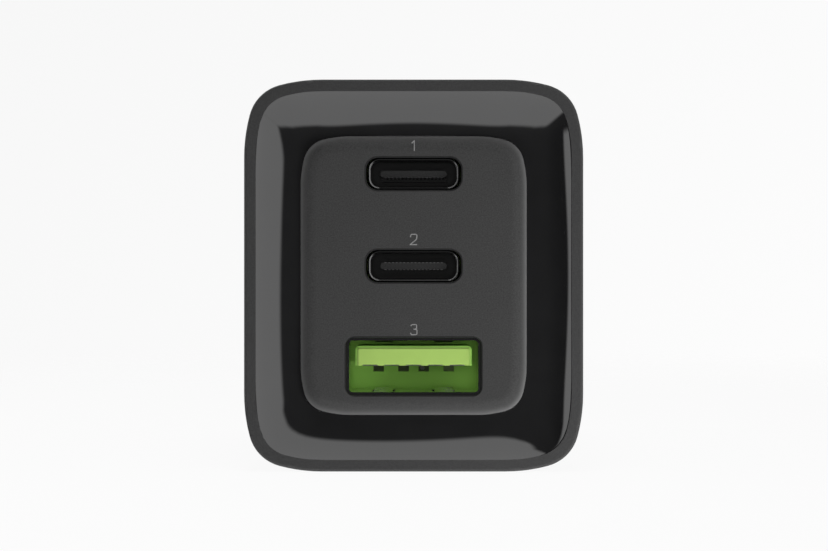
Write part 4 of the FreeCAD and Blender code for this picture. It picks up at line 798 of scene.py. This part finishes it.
class CHARGER_OT_capacitors(ChargerOperator, bpy.types.Operator):
    """Finish the can, film and disc capacitors"""

    bl_idname = "charger.capacitors"
    bl_label = "Capacitors"

    def execute(self, context):
        self.can().wear("can_aluminium")
        moulded("film_case", Shade.FILM_CASE, grain=0.25, roughness=0.4).wear("film_case")
        self.dipped_disc().wear("disc_coat")
        return {"FINISHED"}

    def can(self):
        """Drawn can in a dark sleeve, bare and scored on its top."""
        finish = Finish("can_sleeve")
        across, _, _ = finish.axes()
        bare = finish.direction()[2].rise(0.75, 0.95)
        score = across.wave(2.6).rise(0.96, 1.0) * bare
        drawn = finish.noise(0.1, detail=2.0, stretch=(1, 1, 10))
        film = finish.noise(1.2, detail=2.0, stretch=(1, 1, 3))
        sleeve = finish.tint(Shade.CAN_SLEEVE, 0.15, film)
        finish.set(base_color=finish.mix(bare, sleeve, Shade.ALUMINIUM), metallic=bare,
                   roughness=0.3 + drawn * 0.14 * bare + film * 0.1)
        return finish.bump(drawn * 0.1 - score, 0.08)

    def dipped_disc(self):
        """Dipped disc: thick glossy coat with runs and a few pinholes."""
        finish = Finish("disc_coat", ior=1.5, coat_weight=0.6, coat_roughness=0.08)
        runs = finish.noise(0.9, detail=2.0, stretch=(1, 1, 3))
        holes = finish.cells(0.7).rise(0.08, 0.02)
        finish.set(base_color=finish.tint(Shade.DISC, 0.15, runs), roughness=0.28 + holes * 0.3)
        return finish.bump(runs - holes, 0.04)


class CHARGER_OT_guards(ChargerOperator, bpy.types.Operator):
    """Finish the fuse, the thermal pad, the heat spreader and the insulating sheet"""

    bl_idname = "charger.guards"
    bl_label = "Fuse and heat parts"

    def execute(self, context):
        moulded("fuse_case", Shade.FUSE, grain=0.2, roughness=0.5).wear("fuse_case")
        pad = moulded("pad_silicone", Shade.SILICONE, grain=0.35, roughness=0.75, depth=0.02)
        pad.wear("pad_silicone")
        plated("spreader_metal", Shade.SPREADER, grain=0.12, roughness=0.36).wear("spreader_metal")
        self.sheet().wear("sheet_film")
        return {"FINISHED"}

    def sheet(self):
        """Thin milky sheet with faint creases."""
        finish = Finish("sheet_film", ior=1.5, coat_weight=0.3, coat_roughness=0.2)
        crease = finish.noise(3.0, detail=3.0, stretch=(1, 2, 1))
        finish.set(base_color=finish.tint(Shade.SHEET, 0.08, crease), roughness=0.4 + crease * 0.2)
        return finish.bump(crease, 0.05)


class CHARGER_OT_numerals(ChargerOperator, bpy.types.Operator):
    """Print a plain numeral above each socket"""

    bl_idname = "charger.numerals"
    bl_label = "Numerals"

    sockets = ("slim_socket_upper_shell", "slim_socket_lower_shell", "wide_socket_shell")
    # Strokes of the numerals 1, 2 and 3: points across and up, as shares of the height
    strokes = (
        (((-0.20, 0.76), (0.06, 1.0), (0.06, 1.0), (0.06, 0.0)),),
        (((-0.31, 0.72), (-0.30, 1.02), (0.0, 1.02), (0.32, 1.02), (0.31, 0.70), (0.30, 0.52),
          (-0.05, 0.25), (-0.33, 0.0), (-0.33, 0.0), (0.34, 0.0)),),
        (((-0.28, 0.84), (-0.22, 1.0), (0.02, 1.0), (0.29, 1.0), (0.29, 0.77), (0.29, 0.54),
          (-0.02, 0.54)),
         ((-0.02, 0.54), (0.33, 0.54), (0.33, 0.26), (0.33, 0.0), (0.0, 0.0), (-0.26, 0.0),
          (-0.32, 0.18))),
    )

    def execute(self, context):
        settings = context.scene.charger_print
        ink = self.ink()
        face = node_box("port_panel")[0].y
        for number, (socket, lines) in enumerate(zip(self.sockets, self.strokes), start=1):
            piece = self.numeral(f"numeral_{number}", lines, settings)
            piece.location = (0.0, face, node_box(socket)[1].z + settings.gaps[number - 1])
            piece.data.materials.append(ink)
            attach(piece, "root")
        return {"FINISHED"}

    def numeral(self, name, lines, settings):
        """Numeral of even strokes, flattened to the ink's thickness, upright and facing the front."""
        shape = bpy.data.curves.new(name, "CURVE")
        shape.dimensions = "2D"
        shape.bevel_depth = settings.stroke / 2
        shape.bevel_resolution = 2
        shape.use_fill_caps = True
        for line in lines:
            spline = shape.splines.new("NURBS")
            spline.points.add(len(line) - 1)
            for point, (across, up) in zip(spline.points, line):
                point.co = (across * settings.height, up * settings.height, 0.0, 1.0)
            spline.order_u = 3
            spline.use_endpoint_u = True
        draft = bpy.data.objects.new(name, shape)
        bpy.context.scene.collection.objects.link(draft)
        bpy.context.view_layer.update()
        evaluated = draft.evaluated_get(bpy.context.evaluated_depsgraph_get())
        mesh = bpy.data.meshes.new_from_object(evaluated)
        bpy.data.objects.remove(draft)
        for vertex in mesh.vertices:
            vertex.co.z *= settings.lift / (settings.stroke / 2)
        piece = bpy.data.objects.new(name, mesh)
        piece.rotation_euler = (math.pi / 2, 0.0, 0.0)
        bpy.context.scene.collection.objects.link(piece)
        return piece

    def ink(self):
        """Pad-printed ink: thin, slightly uneven and satin."""
        finish = Finish("numeral_ink", ior=1.45)
        cover = finish.noise(0.12, detail=3.0)
        finish.set(base_color=finish.tint(self.finishes.ink, 0.18, cover), roughness=0.5 + cover * 0.15)
        return finish.bump(cover, 0.002).material


class CHARGER_OT_stage(ChargerOperator, bpy.types.Operator):
    """Set up the floor, the studio light and the camera"""

    bl_idname = "charger.stage"
    bl_label = "Stage"

    # Each lamp, the setting of its power, its width and its place from the middle of the front, in metres
    lamps = (
        ("key", "key_power", 0.04, (0.054, -0.052, -0.037)),
        ("front_fill", "front_power", 0.08, (0.0, -0.35, 0.0)),
        ("left_edge", "left_power", 0.1, (-0.22, -0.08, 0.0)),
        ("upper_edge", "upper_power", 0.1, (0.0, -0.08, 0.22)),
        ("lower_edge", "lower_power", 0.1, (0.0, -0.08, -0.22)),
    )
    # The floor's half width, its gap under the charger and the reach of its fade, in metres
    floor_half_width = 0.6
    floor_gap = 0.02 * MM
    floor_fade = (0.12, 0.42)
    # Share of the floor's light that is its own glow
    floor_glow = 0.93

    def execute(self, context):
        studio = context.scene.charger_studio
        self.floor()
        self.room(context.scene, studio)
        front = Vector((0.0, CAD_BOX[0][1], 0.0))
        for name, setting, width, offset in self.lamps:
            self.lamp(name, getattr(studio, setting), width, front, Vector(offset))
        self.camera(context.scene, studio)
        context.scene.view_settings.view_transform = "Standard"
        return {"FINISHED"}

    def floor(self):
        """Pale floor that fades into the backdrop and keeps a soft contact shadow."""
        half = self.floor_half_width
        mesh = bpy.data.meshes.new("floor")
        corners = [(-half, -half, 0), (half, -half, 0), (half, half, 0), (-half, half, 0)]
        mesh.from_pydata(corners, [], [(0, 1, 2, 3)])
        floor = bpy.data.objects.new("floor", mesh)
        floor.location = (0.0, (CAD_BOX[0][1] + CAD_BOX[1][1]) / 2, CAD_BOX[0][2] - self.floor_gap)
        bpy.context.scene.collection.objects.link(floor)
        floor.visible_glossy = False
        floor.visible_diffuse = False
        floor.visible_shadow = False
        material = bpy.data.materials.new("floor_paper")
        material.use_nodes = True
        mesh.materials.append(material)
        graph = Graph(material.node_tree)
        where = graph.node("ShaderNodeTexCoord").of("Object")
        reach = graph.node("ShaderNodeVectorMath", {"operation": "LENGTH"}, (where,), output="Value")
        fade = reach.rise(*self.floor_fade)
        tooth = graph.node("ShaderNodeTexNoise", None, {"Vector": where, "Scale": 900.0})
        paper = graph.mix(tooth, Shade.PAPER_DARK, Shade.PAPER_PALE)
        lit = graph.node("ShaderNodeBsdfPrincipled", None, {"Base Color": paper, "Roughness": 0.9})
        glow = graph.node("ShaderNodeEmission", None, {"Color": Shade.WHITE, "Strength": 1.0})
        clear = graph.node("ShaderNodeBsdfTransparent")
        near = graph.node("ShaderNodeMixShader", None, (self.floor_glow, lit, glow))
        surface = graph.node("ShaderNodeMixShader", None, (fade, near, clear))
        graph.node("ShaderNodeOutputMaterial", None, (surface,))

    def room(self, scene, studio):
        """White backdrop for the camera, and large soft lights round a dark camera side for the rest."""
        world = bpy.data.worlds.new("studio")
        scene.world = world
        world.use_nodes = True
        world.cycles.sampling_method = "NONE"
        graph = Graph(world.node_tree)
        x, y, z = graph.parts(graph.node("ShaderNodeTexCoord"))
        far_left = (-x).rise(0.55, 0.85)
        low_down = (-z).rise(0.1, 0.4)
        dark = studio.dark_level * (1 - 0.75 * far_left + 0.6 * low_down)
        lit = dark + self.lights(studio, x, y, z) * (studio.light_level - dark)
        backdrop = studio.backdrop + studio.backdrop_right * x - studio.backdrop_down * z
        path = graph.node("ShaderNodeLightPath")
        seen = path | path.of("Is Transmission Ray")
        mirrored = path.of("Is Glossy Ray")
        level = seen * backdrop + (1 - seen) * lit * (studio.spill + mirrored * (1 - studio.spill))
        shade = graph.node("ShaderNodeCombineColor", None, (level, level, level))
        light = graph.node("ShaderNodeBackground", None, {"Color": shade, "Strength": 1.0})
        graph.node("ShaderNodeOutputWorld", None, (light,))

    def lights(self, studio, x, y, z):
        """Large lights with straight soft edges, crossed by a faint seam at the lower right."""

        def beyond(sideways, start):
            return sideways * math.cos(start) + y * math.sin(start)

        def turned(first, second, turn):
            return first * math.cos(turn) + second * math.sin(turn)

        def edged(field, share=1.0):
            return field.rise(-studio.soft * share, studio.soft * share)

        slanted = beyond(turned(x, z, studio.right_slant), studio.slant_start)
        right = edged(beyond(x, studio.right_start) & slanted)
        slanted = beyond(turned(-x, z, studio.left_slant), studio.left_start)
        left = edged(beyond(-x, studio.left_start) | slanted, 0.8) * z.rise(-0.2, -0.1)
        spread = beyond(turned(-z, abs(x), studio.below_spread), studio.below_start)
        below = edged(spread & beyond(-z, studio.below_limit)) * edged(turned(x, -z, studio.below_end))
        above = edged(beyond(turned(x, z, studio.above_turn), studio.above_start))
        above = above * edged(turned(x, z, studio.above_end), 1.2)
        corner = edged(beyond(turned(x, z, studio.corner_turn), studio.corner_start))
        seam = abs(turned(x, z, studio.seam_turn)).rise(0.04, 0.0) * x.rise(0.2, 0.4)
        return (right | left | below | above | corner) * (1 - 0.07 * seam)

    def lamp(self, name, watts, width, front, offset):
        """Round soft lamp that faces the front and isn't mirrored."""
        lamp = bpy.data.lights.new(name, "AREA")
        lamp.shape = "DISK"
        lamp.size = width
        lamp.energy = watts
        rig = bpy.data.objects.new(name, lamp)
        rig.location = front + offset
        rig.rotation_euler = (-offset).to_track_quat("-Z", "Y").to_euler()
        rig.visible_glossy = False
        rig.visible_camera = False
        bpy.context.scene.collection.objects.link(rig)

    def camera(self, scene, studio):
        """Camera on the plug axis, square to the panel, framed as the photograph is."""
        lens = bpy.data.cameras.new("camera")
        lens.sensor_fit = "HORIZONTAL"
        lens.sensor_width = SENSOR_WIDTH
        lens.lens = studio.pixels_per_mm * (studio.distance / MM) * SENSOR_WIDTH / IMAGE_WIDTH
        lens.clip_start = 0.01
        rig = bpy.data.objects.new("camera", lens)
        rig.location = (studio.offset_x, CAD_BOX[0][1] - studio.distance, studio.offset_z)
        rig.rotation_euler = (math.pi / 2, 0.0, 0.0)
        scene.collection.objects.link(rig)
        scene.camera = rig


OPERATORS = (
    CHARGER_OT_housing,
    CHARGER_OT_sockets,
    CHARGER_OT_plug,
    CHARGER_OT_boards,
    CHARGER_OT_wound_parts,
    CHARGER_OT_capacitors,
    CHARGER_OT_guards,
    CHARGER_OT_numerals,
    CHARGER_OT_stage,
)


class CHARGER_PT_sidebar(bpy.types.Panel):
    """Buttons for the charger's pieces and its settings"""

    bl_label = "Charger"
    bl_idname = "CHARGER_PT_sidebar"
    bl_space_type = "VIEW_3D"
    bl_region_type = "UI"
    bl_category = "Charger"

    def draw(self, context):
        column = self.layout.column()
        for operator in OPERATORS:
            column.operator(operator.bl_idname)
        for group in GROUPS:
            settings = getattr(context.scene, group)
            for name in settings.__annotations__:
                column.prop(settings, name)


GROUPS = {
    "charger_finishes": ChargerFinishes,
    "charger_ring": ChargerRing,
    "charger_print": ChargerPrint,
    "charger_studio": ChargerStudio,
}
CLASSES = (*GROUPS.values(), *OPERATORS, CHARGER_PT_sidebar)


def register():
    """Register the classes and hang the settings on the scene."""
    for kind in CLASSES:
        bpy.utils.register_class(kind)
    for name, group in GROUPS.items():
        setattr(bpy.types.Scene, name, PointerProperty(type=group))


def unregister():
    """Take the settings and the classes away again."""
    for name in GROUPS:
        delattr(bpy.types.Scene, name)
    for kind in reversed(CLASSES):
        bpy.utils.unregister_class(kind)


def main():
    """Register the settings and operators, then run each operator to dress the charger."""
    register()
    for operator in OPERATORS:
        group, name = operator.bl_idname.split(".")
        getattr(getattr(bpy.ops, group), name)()
    bpy.context.view_layer.update()


if __name__ == "__main__":
    main()
